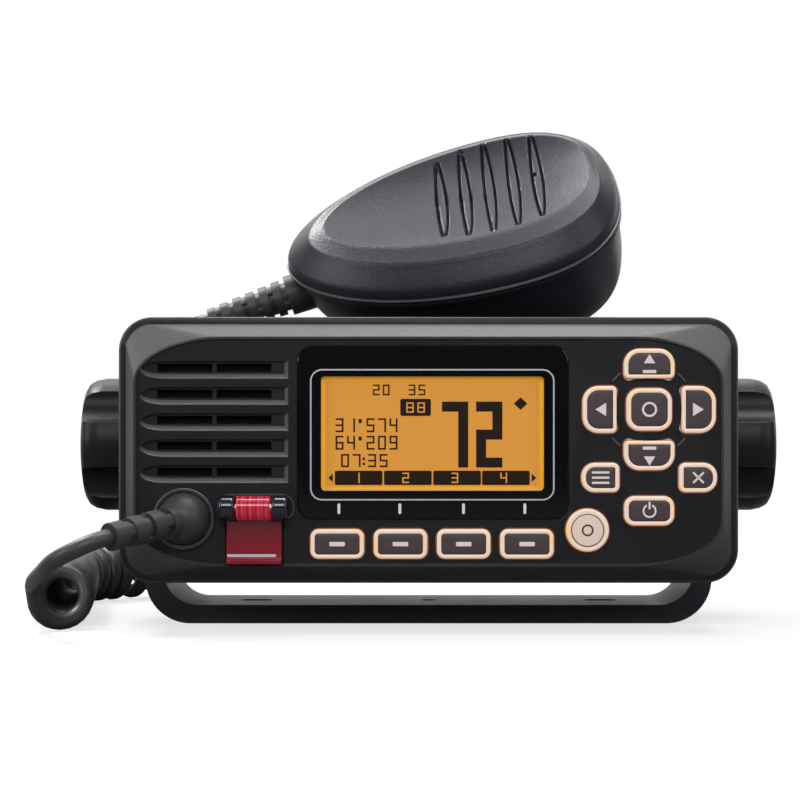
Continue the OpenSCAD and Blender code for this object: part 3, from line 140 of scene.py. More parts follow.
class RADIO_PG_colours(bpy.types.PropertyGroup):
    """Colours of the finishes"""

    case: colour(0.026, 0.026, 0.029, "Front case", "Fine-textured black plastic")
    face: colour(0.010, 0.010, 0.012, "Face", "Satin black face round the display and keys")
    # The frame's finish turns from the face's colour low down into this one high up: a painted
    # highlight on the upper slope.
    frame: colour(0.105, 0.104, 0.112, "Frame", "Sloping frame of the front case")
    lens: colour(0.0035, 0.0035, 0.0045, "Lens", "Gloss black lens")
    line: colour(0.50, 0.50, 0.53, "Printed line", "Silver line printed round the display")
    amber: colour(0.62, 0.262, 0.036, "Amber", "Lit display")
    amber_edge: colour(0.88, 0.38, 0.016, "Amber edge", "Brighter edge of the lit display")
    ink: colour(0.024, 0.013, 0.007, "Display ink", "Dark segments of the display")
    rim: colour(0.72, 0.555, 0.44, "Key rim", "Pale lit rim of the keys")
    glow: colour(0.40, 0.10, 0.02, "Glow", "Light that leaks round the keys")
    cap: colour(0.068, 0.048, 0.051, "Key cap", "Warm dark key caps")
    cap_mark: colour(0.72, 0.64, 0.62, "Key mark", "Pale marks on the key caps")
    red: colour(0.50, 0.026, 0.058, "Red", "Flip cover's barrel")
    cover: colour(0.075, 0.010, 0.016, "Cover", "Smoked red flip cover")
    bracket: colour(0.042, 0.040, 0.050, "Bracket", "Satin bracket, slightly blue")
    knob: colour(0.010, 0.010, 0.012, "Knobs", "Satin black knobs")
    cord: colour(0.038, 0.036, 0.040, "Cord", "Cord's jacket")
    boot: colour(0.036, 0.035, 0.038, "Boots", "Moulded strain reliefs")
    microphone: colour(0.018, 0.019, 0.026, "Microphone", "Dark blue-grey plastic")
    chassis: colour(0.014, 0.014, 0.016, "Chassis", "Black painted casting")


def sizes(context):
    """The sizes that the scene holds."""
    return context.scene.radio_sizes


def colours(context):
    """The colours that the scene holds."""
    return context.scene.radio_colours


# ---- Meshes from grids ----


def outward(points, faces):
    """Faces in the order that points them outwards: the solid's volume, the sum over its
    triangles of a . (b x c) / 6, is then positive."""
    volume = 0.0
    for face in faces:
        a = points[face[:, 0]]
        for k in range(1, face.shape[1] - 1):
            b, c = points[face[:, k]], points[face[:, k + 1]]
            volume += float(np.einsum("ij,ij->i", a, np.cross(b, c)).sum()) / 6
    return [face[:, ::-1] for face in faces] if volume < 0 else list(faces)


def as_object(name, points, faces, smooth):
    """A mesh object at the origin from points in millimetres and arrays of faces."""
    mesh = bpy.data.meshes.new(name)
    rows = [row for face in faces for row in face.tolist()]
    mesh.from_pydata((np.asarray(points) * MM).tolist(), [], rows)
    mesh.polygons.foreach_set("use_smooth", np.ones(len(mesh.polygons), bool))
    mesh.update()
    mesh.set_sharp_from_angle(angle=math.radians(smooth))
    thing = bpy.data.objects.new(name, mesh)
    bpy.context.scene.collection.objects.link(thing)
    return thing


def skin(grid, ends=True):
    """Points and faces over a grid of rings: a quad between each four neighbours. Where ends is
    set, a fan about its middle closes the first and the last ring."""
    rings, count = grid.shape[:2]
    points = grid.reshape(-1, 3)
    k, i = np.meshgrid(np.arange(rings - 1), np.arange(count), indexing="ij")
    j = (i + 1) % count
    faces = [np.stack([k * count + i, k * count + j, (k + 1) * count + j, (k + 1) * count + i],
                      axis=-1).reshape(-1, 4)]
    if ends:
        middles = np.array([grid[0].mean(axis=0), grid[-1].mean(axis=0)])
        points = np.vstack([points, middles])
        a = np.arange(count)
        b = (a + 1) % count
        first = np.full(count, rings * count)
        faces.append(np.stack([b, a, first], axis=-1))
        last = (rings - 1) * count
        faces.append(np.stack([last + a, last + b, first + 1], axis=-1))
    return points, faces


def solid(name, grid, smooth=40.0):
    """A closed piece through a grid of rings, its ends closed by fans."""
    points, faces = skin(np.asarray(grid, float))
    return as_object(name, points, outward(points, faces), smooth)


def looped(name, grid, smooth=40.0):
    """A closed piece whose rings run back into the first, as round a frame."""
    grid = np.asarray(grid, float)
    _, faces = skin(np.concatenate([grid, grid[:1]]), ends=False)
    points = grid.reshape(-1, 3)
    faces = [face % len(points) for face in faces]
    return as_object(name, points, outward(points, faces), smooth)


def prisms(name, outlines, front, back):
    """Flat plates with given outlines, a list of (x, z) arrays, between two depths: each plate
    is its outline at the front and at the back with a wall between them."""
    points, faces, start = [], [], 0
    for outline in outlines:
        corners, walls = skin(np.stack([at_depth(outline, back), at_depth(outline, front)]))
        points.append(corners)
        faces.extend(face + start for face in outward(corners, walls))
        start += len(corners)
    return as_object(name, np.vstack(points), faces, smooth=30.0)


def round_corners(corners, steps):
    """Outline through round corners, each given as the x and z of its middle, its radius and its
    first angle: about the middle, r (cos t, sin t) over a quarter turn."""
    t = np.radians(np.linspace(0, 90, steps))
    return np.vstack([np.stack([x + r * np.cos(t + math.radians(a)),
                                z + r * np.sin(t + math.radians(a))], axis=-1)
                      for x, z, r, a in corners])


def round_box(x0, x1, z0, z1, r, steps=10):
    """Outline of a box with round corners."""
    return round_corners([(x1 - r, z0 + r, r, -90), (x1 - r, z1 - r, r, 0),
                          (x0 + r, z1 - r, r, 90), (x0 + r, z0 + r, r, 180)], steps)


def drawn_in(box, inset, radius):
    """Outline of a box with round corners, drawn in by an inset."""
    x0, x1, z0, z1 = box
    return round_box(x0 + inset, x1 - inset, z0 + inset, z1 - inset, radius - inset)


def plate(x0, x1, z0, z1, r=0.01):
    """Outline of a small plate, with few points at its corners."""
    return round_box(x0, x1, z0, z1, r, steps=5)


def at_depth(outline, y):
    """The (x, z) outline as a ring of points at one depth."""
    return np.stack([outline[:, 0], np.full(len(outline), float(y)), outline[:, 1]], axis=-1)


def flat_band(name, outline, first, last, back, front):
    """A band from one inset of an outline to another, and from one depth to another."""
    corners = ((first, back), (first, front), (last, front), (last, back))
    return looped(name, [at_depth(outline(inset), y) for inset, y in corners])


def bevelled_copy(node, width_mm, segments, pierced=False):
    """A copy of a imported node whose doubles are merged, its flat facets joined and its sharp
    edges rounded, to stand for the node. Where it is pierced, its flat faces have holes, and they
    are laid out as triangles again."""
    sharp = math.radians(28)
    mesh = NODES[node].data.copy()
    work = bmesh.new()
    work.from_mesh(mesh)
    bmesh.ops.remove_doubles(work, verts=work.verts, dist=2e-6)
    bmesh.ops.dissolve_limit(work, angle_limit=math.radians(0.4), verts=work.verts,
                             edges=work.edges, use_dissolve_boundaries=False)
    if pierced:
        bmesh.ops.triangulate(work, faces=work.faces, quad_method="BEAUTY", ngon_method="BEAUTY")
    work.to_mesh(mesh)
    work.free()
    mesh.materials.clear()
    mesh.polygons.foreach_set("use_smooth", np.ones(len(mesh.polygons), bool))
    mesh.set_sharp_from_angle(angle=sharp)
    piece = bpy.data.objects.new(node + "_look", mesh)
    bpy.context.scene.collection.objects.link(piece)
    rounding = piece.modifiers.new("Edges", "BEVEL")
    rounding.width = width_mm * MM
    rounding.segments = segments
    rounding.limit_method = "ANGLE"
    rounding.angle_limit = sharp
    rounding.use_clamp_overlap = True
    rounding.miter_outer = "MITER_ARC"
    evened = piece.modifiers.new("Normals", "WEIGHTED_NORMAL")
    evened.keep_sharp = True
    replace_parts(piece, node)
    return piece


def lit_edges(piece, material):
    """Gives the faces that the rounding makes along a copy's edges their own material, a lighter
    one that paints a highlight along them.
    """
    piece.data.materials.append(material)
    piece.modifiers["Edges"].material = len(piece.data.materials) - 1


def dress(piece, body, material):
    """Gives a piece its material and its body."""
    if piece.data.materials:
        for i in range(len(piece.data.materials)):
            piece.data.materials[i] = material
    else:
        piece.data.materials.append(material)
    if body is not None:
        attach(piece, body)
    return piece


def dressed_copy(node, width_mm, segments, body, material, edge=None):
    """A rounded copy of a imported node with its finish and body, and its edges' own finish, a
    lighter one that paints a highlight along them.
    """
    piece = dress(bevelled_copy(node, width_mm, segments), body, material)
    if edge is not None:
        lit_edges(piece, edge)
    return piece


def dress_inner(made, pairs):
    """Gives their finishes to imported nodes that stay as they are."""
    for node, name in pairs:
        dress(NODES[node], None, made[name])


# ---- Finishes ----


def new_group(name, inputs, outputs):
    """A shader node group with named sockets, as (kind, name, default)."""
    group = bpy.data.node_groups.new(name, "ShaderNodeTree")
    for kind, label, default in inputs:
        socket = group.interface.new_socket(label, in_out="INPUT", socket_type=kind)
        if default is not None:
            socket.default_value = default
    for kind, label in outputs:
        group.interface.new_socket(label, in_out="OUTPUT", socket_type=kind)
    return group, group.nodes.new("NodeGroupInput"), group.nodes.new("NodeGroupOutput")


def feed(tree, socket, value):
    """Links a socket to what another one gives, or sets its value."""
    if isinstance(value, bpy.types.NodeSocket):
        tree.links.new(value, socket)
    elif value is not None:
        socket.default_value = value


def maths(tree, operation, a, b=None, clamp=False):
    """One step of arithmetic on sockets or numbers."""
    node = tree.nodes.new("ShaderNodeMath")
    node.operation = operation
    node.use_clamp = clamp
    feed(tree, node.inputs[0], a)
    feed(tree, node.inputs[1], b)
    return node.outputs[0]


def ramp(tree, value, start, gain):
    """The share (value - start) * gain, kept between 0 and 1."""
    return maths(tree, "MULTIPLY", maths(tree, "SUBTRACT", value, start), gain, True)


def blended(tree, share, a, b):
    """Mix of two colours by a share."""
    node = tree.nodes.new("ShaderNodeMix")
    node.data_type = "RGBA"
    for i, value in ((0, share), (6, a), (7, b)):
        feed(tree, node.inputs[i], value)
    return node.outputs[2]


def mixed(tree, share, first, second):
    """Mix of two shaders by a share."""
    node = tree.nodes.new("ShaderNodeMixShader")
    for socket, value in zip(node.inputs, (share, first, second)):
        tree.links.new(value, socket)
    return node.outputs[0]


def place_axes(tree, output="Object"):
    """X, Y and Z of the place on a piece."""
    place = tree.nodes.new("ShaderNodeTexCoord")
    split = tree.nodes.new("ShaderNodeSeparateXYZ")
    tree.links.new(place.outputs[output], split.inputs[0])
    return split.outputs


def noise(tree, scale, detail=2.0, distortion=0.0):
    """Noise over the place on a piece, at so many patches per metre."""
    place = tree.nodes.new("ShaderNodeTexCoord")
    node = tree.nodes.new("ShaderNodeTexNoise")
    tree.links.new(place.outputs["Object"], node.inputs["Vector"])
    feed(tree, node.inputs["Scale"], scale)
    node.inputs["Detail"].default_value = detail
    node.inputs["Distortion"].default_value = distortion
    return node.outputs["Fac"]


def new_material(name):
    """A material, its node tree and its shader."""
    material = bpy.data.materials.new(name)
    material.use_nodes = True
    return material, material.node_tree, material.node_tree.nodes["Principled BSDF"]


def grain_group():
    """Grain of a spark-eroded mould: two noises, one fine and one four times coarser, whose
    heights add up, with specks where the fine one is high."""
    name = "Mould grain"
    if name in bpy.data.node_groups:
        return bpy.data.node_groups[name]
    group, given, out = new_group(
        name,
        [("NodeSocketFloat", "Grains per metre", 4000.0),
         ("NodeSocketFloat", "Coarse share", 0.35)],
        [("NodeSocketFloat", "Height"), ("NodeSocketFloat", "Specks")],
    )
    grains = given.outputs["Grains per metre"]
    fine = noise(group, grains)
    coarse = noise(group, maths(group, "MULTIPLY", grains, 0.25), detail=1.0)
    height = maths(group, "ADD", fine,
                   maths(group, "MULTIPLY", coarse, given.outputs["Coarse share"]))
    group.links.new(height, out.inputs["Height"])
    group.links.new(ramp(group, fine, 0.55, 6.0), out.inputs["Specks"])
    return group


def wear_group():
    """Handling on a surface: Edge is high where pointiness is high, Dust where a coarse noise is
    high on what faces up, Smear from a stretched noise as wide as a thumb."""
    name = "Handling wear"
    if name in bpy.data.node_groups:
        return bpy.data.node_groups[name]
    group, given, out = new_group(
        name,
        [("NodeSocketFloat", "Edge start", 0.53), ("NodeSocketFloat", "Patches per metre", 60.0)],
        [("NodeSocketFloat", "Edge"), ("NodeSocketFloat", "Dust"), ("NodeSocketFloat", "Smear")],
    )
    shape = group.nodes.new("ShaderNodeNewGeometry")
    patch = noise(group, given.outputs["Patches per metre"], detail=5.0)
    edge = ramp(group, shape.outputs["Pointiness"], given.outputs["Edge start"], 14.0)
    group.links.new(maths(group, "MULTIPLY", edge, patch), out.inputs["Edge"])
    up = group.nodes.new("ShaderNodeSeparateXYZ")
    group.links.new(shape.outputs["Normal"], up.inputs["Vector"])
    dust = maths(group, "MULTIPLY", maths(group, "MAXIMUM", up.outputs["Z"], 0.0),
                 ramp(group, patch, 0.4, 3.0))
    group.links.new(dust, out.inputs["Dust"])
    group.links.new(noise(group, 35.0, distortion=1.5), out.inputs["Smear"])
    return group


def share_along(tree, axis, low, high):
    """Share that rises from 0 to 1 between two places on an axis, in millimetres."""
    return ramp(tree, place_axes(tree)[axis], low * MM, 1.0 / ((high - low) * MM))


def finish(name, base, roughness, grain=0.0, grains=4500.0, metallic=0.0, coat=0.0,
           coat_roughness=0.1, edge=0.0, dust=0.0, smear=0.0, specks=0.0, specular=0.5,
           emission=None, emission_strength=0.0, along=None):
    """A Principled finish whose colour, roughness and bump come from grain and handling. Grain is
    the bump's height in millimetres, edge, dust and specks how far they lighten the colour, and
    smear how far it changes the roughness. Along is an axis, two places on it in millimetres and
    the colour that the first one turns into between them."""
    material, tree, shader = new_material(name)
    shader.inputs["Metallic"].default_value = metallic
    shader.inputs["Specular IOR Level"].default_value = specular
    shader.inputs["Coat Weight"].default_value = coat
    shader.inputs["Coat Roughness"].default_value = coat_roughness
    base = (*base[:3], 1.0)
    mould = tree.nodes.new("ShaderNodeGroup")
    mould.node_tree = grain_group()
    mould.inputs["Grains per metre"].default_value = grains
    worn = tree.nodes.new("ShaderNodeGroup")
    worn.node_tree = wear_group()
    lighter = tuple(min(1.0, c * 1.8 + 0.03) for c in base[:3]) + (1.0,)
    if along is not None:
        axis, low, high, last = along
        base = blended(tree, share_along(tree, axis, low, high), base, (*last, 1.0))
    tint = blended(tree, maths(tree, "MULTIPLY", worn.outputs["Edge"], edge), base, lighter)
    tint = blended(tree, maths(tree, "MULTIPLY", worn.outputs["Dust"], dust), tint,
                   (0.25, 0.24, 0.22, 1.0))
    tint = blended(tree, maths(tree, "MULTIPLY", mould.outputs["Specks"], specks), tint, lighter)
    tree.links.new(tint, shader.inputs["Base Color"])
    uneven = maths(tree, "MULTIPLY", maths(tree, "SUBTRACT", worn.outputs["Smear"], 0.5), smear)
    tree.links.new(maths(tree, "ADD", uneven, roughness, True), shader.inputs["Roughness"])
    if grain:
        bump = tree.nodes.new("ShaderNodeBump")
        bump.inputs["Strength"].default_value = 1.0
        bump.inputs["Distance"].default_value = grain * MM
        tree.links.new(mould.outputs["Height"], bump.inputs["Height"])
        tree.links.new(bump.outputs["Normal"], shader.inputs["Normal"])
    if emission is not None:
        shader.inputs["Emission Color"].default_value = (*emission[:3], 1.0)
        shader.inputs["Emission Strength"].default_value = emission_strength
    return material


def cover_finish(c):
    """Flip cover: clear red at its lip, smoked above it, and on its barrel bright red with darker
    bands across it. All of it glows a little, and the barrel more, as painted light."""
    material = finish("Flip cover", (0.24, 0.004, 0.014), 0.10, coat=0.3, coat_roughness=0.04,
                      smear=0.05, along=("Z", 18.0, 30.0, c.cover))
    tree = material.node_tree
    shader = tree.nodes["Principled BSDF"]
    band = tree.nodes.new("ShaderNodeTexNoise")
    band.noise_dimensions = "1D"
    band.inputs["Detail"].default_value = 2.0
    tree.links.new(maths(tree, "MULTIPLY", place_axes(tree)["X"], 300.0), band.inputs["W"])
    bands = blended(tree, ramp(tree, band.outputs["Fac"], 0.40, 4.0), (0.20, 0.002, 0.012, 1),
                    (*c.red, 1))
    barrel = share_along(tree, "Z", 28.8, 29.1)
    tint = blended(tree, barrel, shader.inputs["Base Color"].links[0].from_socket, bands)
    tree.links.new(tint, shader.inputs["Base Color"])
    # Painted glow: the cover's own colour is fed to its emission, stronger on the barrel.
    tree.links.new(tint, shader.inputs["Emission Color"])
    tree.links.new(maths(tree, "ADD", maths(tree, "MULTIPLY", barrel, 0.30), 0.25),
                   shader.inputs["Emission Strength"])
    return material


def rim_finish(c):
    """Lit rim of the keys: pale, and yellower in patches, where more light comes through."""
    material = finish("Lit key rim", c.rim, 0.4, smear=0.05, emission=c.rim, emission_strength=0.45)
    tree = material.node_tree
    shader = tree.nodes["Principled BSDF"]
    share = ramp(tree, noise(tree, 90.0, detail=1.0), 0.54, 5.0)
    warm = blended(tree, share, (*c.rim, 1), (0.80, 0.50, 0.20, 1))
    tree.links.new(warm, shader.inputs["Base Color"])
    tree.links.new(warm, shader.inputs["Emission Color"])
    return material


def finishes(context):
    """Every finish of the radio by its plain name, made once."""
    made = getattr(finishes, "made", None)
    if made:
        return made
    c = colours(context)
    made = {
        "case": finish("Moulded plastic", c.case, 0.36, grain=0.03, edge=0.3, dust=0.02, smear=0.05,
                       specks=0.15, specular=0.45),
        # Frame: face colour below Z 12 mm, turning lighter up to Z 42 mm, a painted highlight where
        # the upper slope faces the light.
        "frame": finish("Frame plastic", c.face, 0.40, grain=0.09, grains=3000.0, specks=0.5,
                        smear=0.05, specular=0.65, along=("Z", 12.0, 42.0, c.frame)),
        # Edge finishes: lighter than the plastic they round off, a painted highlight along rounded
        # edges and thin raised lines.
        "edge": finish("Moulded edge", (0.075, 0.075, 0.082), 0.34, smear=0.05, specular=0.8),
        "knob_edge": finish("Knob edge", (0.035, 0.035, 0.039), 0.34, smear=0.05, specular=0.7),
        "boot_edge_highlight": finish("Boot edge", (0.050, 0.050, 0.054), 0.40, smear=0.05, specular=0.6),
        "face": finish("Face plastic", c.face, 0.34, grain=0.012, edge=0.2, smear=0.06,
                       specular=0.3),
        "lens": finish("Gloss lens", c.lens, 0.06, smear=0.04, specular=0.3,
                       coat=0.1, coat_roughness=0.03),
        # Silver print, with a faint glow that paints its sheen.
        "line": finish("Printed silver", c.line, 0.35, metallic=0.4, smear=0.05,
                       emission=(0.8, 0.82, 0.9), emission_strength=0.12),
        "ink": finish("Display ink", c.ink, 0.60, smear=0.02, specular=0.1),
        "rim": rim_finish(c),
        "pale": finish("Pale key cap", c.rim, 0.4, smear=0.05, emission=(0.70, 0.60, 0.56),
                       emission_strength=0.25),
        "glow": finish("Key glow", c.glow, 0.5, smear=0.02, emission=c.glow,
                       emission_strength=0.06),
        "cap": finish("Key cap", c.cap, 0.42, grain=0.01, smear=0.05, edge=0.2, specular=0.4),
        "mark": finish("Key mark", c.cap_mark, 0.5, smear=0.02, emission=(1.0, 0.88, 0.82),
                       emission_strength=0.12),
        "mark_dark": finish("Dark key mark", (0.05, 0.035, 0.035), 0.5, smear=0.02),
        "red": finish("Red key", c.red, 0.2, smear=0.05),
        "cover": cover_finish(c),
        "ears": finish("Hinge ears", (0.006, 0.009, 0.014), 0.10, coat=0.6, coat_roughness=0.05,
                       smear=0.05),
        "bracket": finish("Bracket plastic", c.bracket, 0.36, grain=0.015, edge=0.25, dust=0.03,
                          smear=0.08, specular=0.3),
        "knob": finish("Knob plastic", c.knob, 0.34, grain=0.03, edge=0.35, dust=0.02, smear=0.06,
                       specks=0.12, specular=0.22),
        "cord": finish("Cord jacket", c.cord, 0.40, grain=0.01, smear=0.1, specular=0.5),
        "boot": finish("Moulded boot", c.boot, 0.46, grain=0.02, edge=0.2, dust=0.03, smear=0.08),
        "microphone": finish("Microphone plastic", c.microphone, 0.34, grain=0.075, grains=3000.0,
                             edge=0.2, dust=0.02, smear=0.05, specks=0.35, specular=0.4),
        "chassis": finish("Painted casting", c.chassis, 0.45, grain=0.05, grains=2200.0, edge=0.5,
                          dust=0.08, smear=0.08),
        "steel": finish("Plated steel", (0.55, 0.55, 0.56), 0.28, grain=0.004, metallic=1.0,
                        smear=0.15),
        "nickel": finish("Nickel plate", (0.66, 0.63, 0.58), 0.24, grain=0.004, metallic=1.0,
                         smear=0.12),
        "insulator": finish("Insulator", (0.80, 0.77, 0.68), 0.5, smear=0.05),
        "rubber": finish("Rubber", (0.014, 0.014, 0.015), 0.62, grain=0.02, smear=0.08),
        "board": finish("Circuit board", (0.02, 0.13, 0.06), 0.4, grain=0.01, smear=0.1),
        "holder": finish("Display holder", (0.72, 0.72, 0.69), 0.5, smear=0.05),
        "silicone": finish("Silicone mat", (0.70, 0.58, 0.52), 0.55, smear=0.05),
        "cloth": finish("Speaker cloth", (0.004, 0.004, 0.004), 0.9, grain=0.03, grains=2500.0,
                        specular=0.1),
    }
    finishes.made = made
    return made


# ---- Stage ----


class RADIO_OT_stage(bpy.types.Operator):
    """Makes the camera, the floor, the lamps and the white surroundings"""

    bl_idname = "radio.stage"
    bl_label = "Stage"

    def execute(self, context):
        scene = context.scene
        scene.view_settings.view_transform = "Standard"
        lens = bpy.data.cameras.new("camera")
        lens.sensor_width = 36.0
        lens.lens = 93.13
        lens.shift_x = -0.0356
        lens.shift_y = 0.0412
        lens.clip_start, lens.clip_end = 0.02, 20.0
        camera = bpy.data.objects.new("camera", lens)
        camera.location = (0.0, -0.568, 0.0507)
        camera.rotation_euler = (math.radians(90), 0.0, 0.0)
        scene.collection.objects.link(camera)
        scene.camera = camera
        self.surroundings(scene)
        self.floor()
        for name, place, aim, size, power in (
            ("top_lamp", (0.16, -0.04, 0.95), (0, 0, 0), (0.46, 0.62), 6.0),
            ("upper_left_lamp", (-0.44, 0.26, 0.78), (0, 0, 0.1), (0.2, 0.2), 5.5),
            ("back_lamp", (-0.15, 0.65, 0.75), (0, 0, 0.08), (0.9, 0.3), 2.0),
            ("left_lamp", (-1.0, -0.60, 0.45), (0, 0, 0.05), (0.45, 0.6), 4.0),
            ("right_lamp", (1.0, -0.80, 0.50), (0, 0, 0.05), (0.5, 0.7), 2.6),
            ("front_lamp", (0.0, -1.20, 0.62), (0, 0, 0.05), (0.8, 0.4), 5.5),
        ):
            self.lamp(scene, name, place, aim, size, power)
        return {"FINISHED"}

    def lamp(self, scene, name, place, aim, size, power):
        """A flat lamp at a place, turned to what it aims at."""
        light = bpy.data.lights.new(name, "AREA")
        light.shape = "RECTANGLE"
        light.size, light.size_y = size
        light.energy = power
        lamp = bpy.data.objects.new(name, light)
        lamp.location = place
        lamp.rotation_euler = (Vector(aim) - Vector(place)).to_track_quat("-Z", "Y").to_euler()
        scene.collection.objects.link(lamp)

    def surroundings(self, scene):
        """White where the camera, glass, or gloss that faces the backdrop sees the world, and
        elsewhere grey light, dim from in front and stronger from above and behind."""
        world = bpy.data.worlds.new("white surroundings")
        world.use_nodes = True
        scene.world = world
        tree = world.node_tree
        tree.nodes.clear()
        path = tree.nodes.new("ShaderNodeLightPath")
        way = place_axes(tree, "Generated")
        behind = ramp(tree, way["Y"], 0.15, 2.0)
        above = maths(tree, "MAXIMUM", way["Z"], 0.0)
        seen = tree.nodes.new("ShaderNodeBackground")
        seen.inputs["Color"].default_value = (1, 1, 1, 1)
        lit = tree.nodes.new("ShaderNodeBackground")
        lit.inputs["Color"].default_value = (0.92, 0.95, 1.0, 1)
        level = maths(tree, "ADD", maths(tree, "MULTIPLY", above, 0.30),
                      maths(tree, "MULTIPLY", behind, 0.25))
        tree.links.new(maths(tree, "ADD", level, 0.07), lit.inputs["Strength"])
        white = maths(tree, "MAXIMUM", path.outputs["Is Camera Ray"],
                      maths(tree, "MAXIMUM", path.outputs["Is Transmission Ray"],
                            maths(tree, "MULTIPLY", path.outputs["Is Glossy Ray"], behind)))
        out = tree.nodes.new("ShaderNodeOutputWorld")
        tree.links.new(mixed(tree, white, lit.outputs[0], seen.outputs[0]), out.inputs[0])

    def floor(self):
        """A wide floor: for the camera, white with a part of the shadow near the object, and dull
        grey for the light that bounces up to the object."""
        half = 6.0
        mesh = bpy.data.meshes.new("floor")
        mesh.from_pydata([(-half, -half, 0), (half, -half, 0), (half, half, 0), (-half, half, 0)],
                         [], [(0, 1, 2, 3)])
        floor = bpy.data.objects.new("floor", mesh)
        bpy.context.scene.collection.objects.link(floor)
        material, tree, shader = new_material("Pale floor")
        shader.inputs["Base Color"].default_value = (0.86, 0.86, 0.86, 1)
        shader.inputs["Roughness"].default_value = 0.9
        shader.inputs["Specular IOR Level"].default_value = 0.1
        dull = tree.nodes.new("ShaderNodeBsdfDiffuse")
        dull.inputs["Color"].default_value = (0.16, 0.16, 0.17, 1)
        path = tree.nodes.new("ShaderNodeLightPath")
        place = tree.nodes.new("ShaderNodeTexCoord")
        far = tree.nodes.new("ShaderNodeVectorMath")
        far.operation = "LENGTH"
        tree.links.new(place.outputs["Object"], far.inputs[0])
        white = tree.nodes.new("ShaderNodeEmission")
        away = ramp(tree, far.outputs["Value"], 0.16, 3.0)
        kept = maths(tree, "ADD", 0.70, maths(tree, "MULTIPLY", away, 0.30))
        seen = maths(tree, "MAXIMUM", path.outputs["Is Camera Ray"],
                     path.outputs["Is Transmission Ray"])
        near = mixed(tree, kept, shader.outputs[0], white.outputs[0])
        tree.links.new(mixed(tree, seen, dull.outputs[0], near),
                       tree.nodes["Material Output"].inputs["Surface"])
        mesh.materials.append(material)


# ---- Cord ----

# Route of the coil, in millimetres and degrees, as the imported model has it
COIL = {"start": (-95.2, -30.0), "turn": 7.7, "run": 68.0, "bend": 27.0, "bend_deg": 60.0,
        "climb": 27.0, "last": 24.0, "pitch": 4.8, "bend_pitch": 6.2, "drawn_in": 14.0,
        "drawn_up": 8.0, "phase": 178.0, "end": 270.0}


def coil_line(curl_radius, cord_radius, per_curl=24):
    """Middle of the curly cord, which winds round an axis that runs back, bends to the right,
    bends upwards and hangs. At c curls it is the axis' place plus curl_radius times
    (cos a across + sin a above), with a = phase + 360 c. The axis is followed at one pitch per
    curl, wider in the bends, and the first and the last curl are drawn out."""
    k = COIL
    turn0 = math.radians(k["turn"])
    bend_run = k["bend"] * math.radians(k["bend_deg"])
    climb_run = k["climb"] * math.pi / 2
    straight = k["run"] / k["pitch"]
    bent = (bend_run + climb_run) / k["bend_pitch"]
    total = math.floor(straight + bent + k["last"] / k["pitch"]) + (k["end"] - k["phase"]) / 360
    c = np.linspace(0, total, int(total * per_curl) + 1)
    curved = k["run"] + (c - straight) * k["bend_pitch"]
    hanging = k["run"] + bend_run + climb_run + (c - straight - bent) * k["pitch"]
    run = np.where(c < straight, c * k["pitch"], np.where(c < straight + bent, curved, hanging))
    run = run + k["drawn_up"] * np.maximum(0, c - total + 1) ** 2
    run = run - k["drawn_in"] * np.maximum(0, 1 - c) ** 2
    turn = turn0 - math.radians(k["bend_deg"]) * np.clip((run - k["run"]) / bend_run, 0, 1)
    climb = np.clip((run - k["run"] - bend_run) / climb_run, 0, 1)[:, None] * math.pi / 2
    flat = np.zeros_like(run)
    up = np.array([0.0, 0.0, 1.0])
    across = np.stack([np.cos(turn), np.sin(turn), flat], axis=-1)
    ahead = np.stack([-np.sin(turn), np.cos(turn), flat], axis=-1)
    above = np.cos(climb) * up - np.sin(climb) * ahead
    across0 = np.array([math.cos(turn0), math.sin(turn0), 0.0])
    ahead0 = np.array([-math.sin(turn0), math.cos(turn0), 0.0])
    risen = np.maximum(0, run - k["run"] - bend_run - climb_run)[:, None]
    axis = (np.array([*k["start"], curl_radius + cord_radius + 0.1])
            + np.minimum(run, k["run"])[:, None] * ahead0
            + k["bend"] * (across0 - across)
            + k["climb"] * np.sin(climb) * ahead
            + (k["climb"] * (1 - np.cos(climb)) + risen) * up)
    a = np.radians(k["phase"] + 360 * c)[:, None]
    return axis + curl_radius * (np.cos(a) * across + np.sin(a) * above)


def smooth_route(points, per_span=8):
    """A curve through given points: between each two, the cubic whose slopes at its ends are
    half the chord between their neighbours."""
    p = np.asarray(points, float)
    slope = np.gradient(p, axis=0)
    t = np.linspace(0, 1, per_span, endpoint=False)[:, None, None]
    a, b, u, v = p[:-1], p[1:], slope[:-1], slope[1:]
    curve = ((2 * t**3 - 3 * t**2 + 1) * a + (t**3 - 2 * t**2 + t) * u
             + (3 * t**2 - 2 * t**3) * b + (t**3 - t**2) * v)
    return np.vstack([curve.transpose(1, 0, 2).reshape(-1, p.shape[1]), p[-1:]])


def tube(name, line, radius, sides=14):
    """A tube of one radius along a line. Its rings turn as little as they can: each ring's
    first direction is the last one's, less its part along the line."""
    line = np.asarray(line, float)
    way = np.gradient(line, axis=0)
    way /= np.linalg.norm(way, axis=1, keepdims=True)
    a = np.cross(way[0], (0.3, 0.2, 1.0))
    across = np.empty_like(line)
    for k, t in enumerate(way):
        a = a - t * (a @ t)
        a = a / np.linalg.norm(a)
        across[k] = a
    other = np.cross(way, across)
    t = np.linspace(0, 2 * np.pi, sides, endpoint=False)
    grid = (line[:, None, :] + radius * (across[:, None, :] * np.cos(t)[None, :, None]
                                         + other[:, None, :] * np.sin(t)[None, :, None]))
    return solid(name, grid, smooth=60)


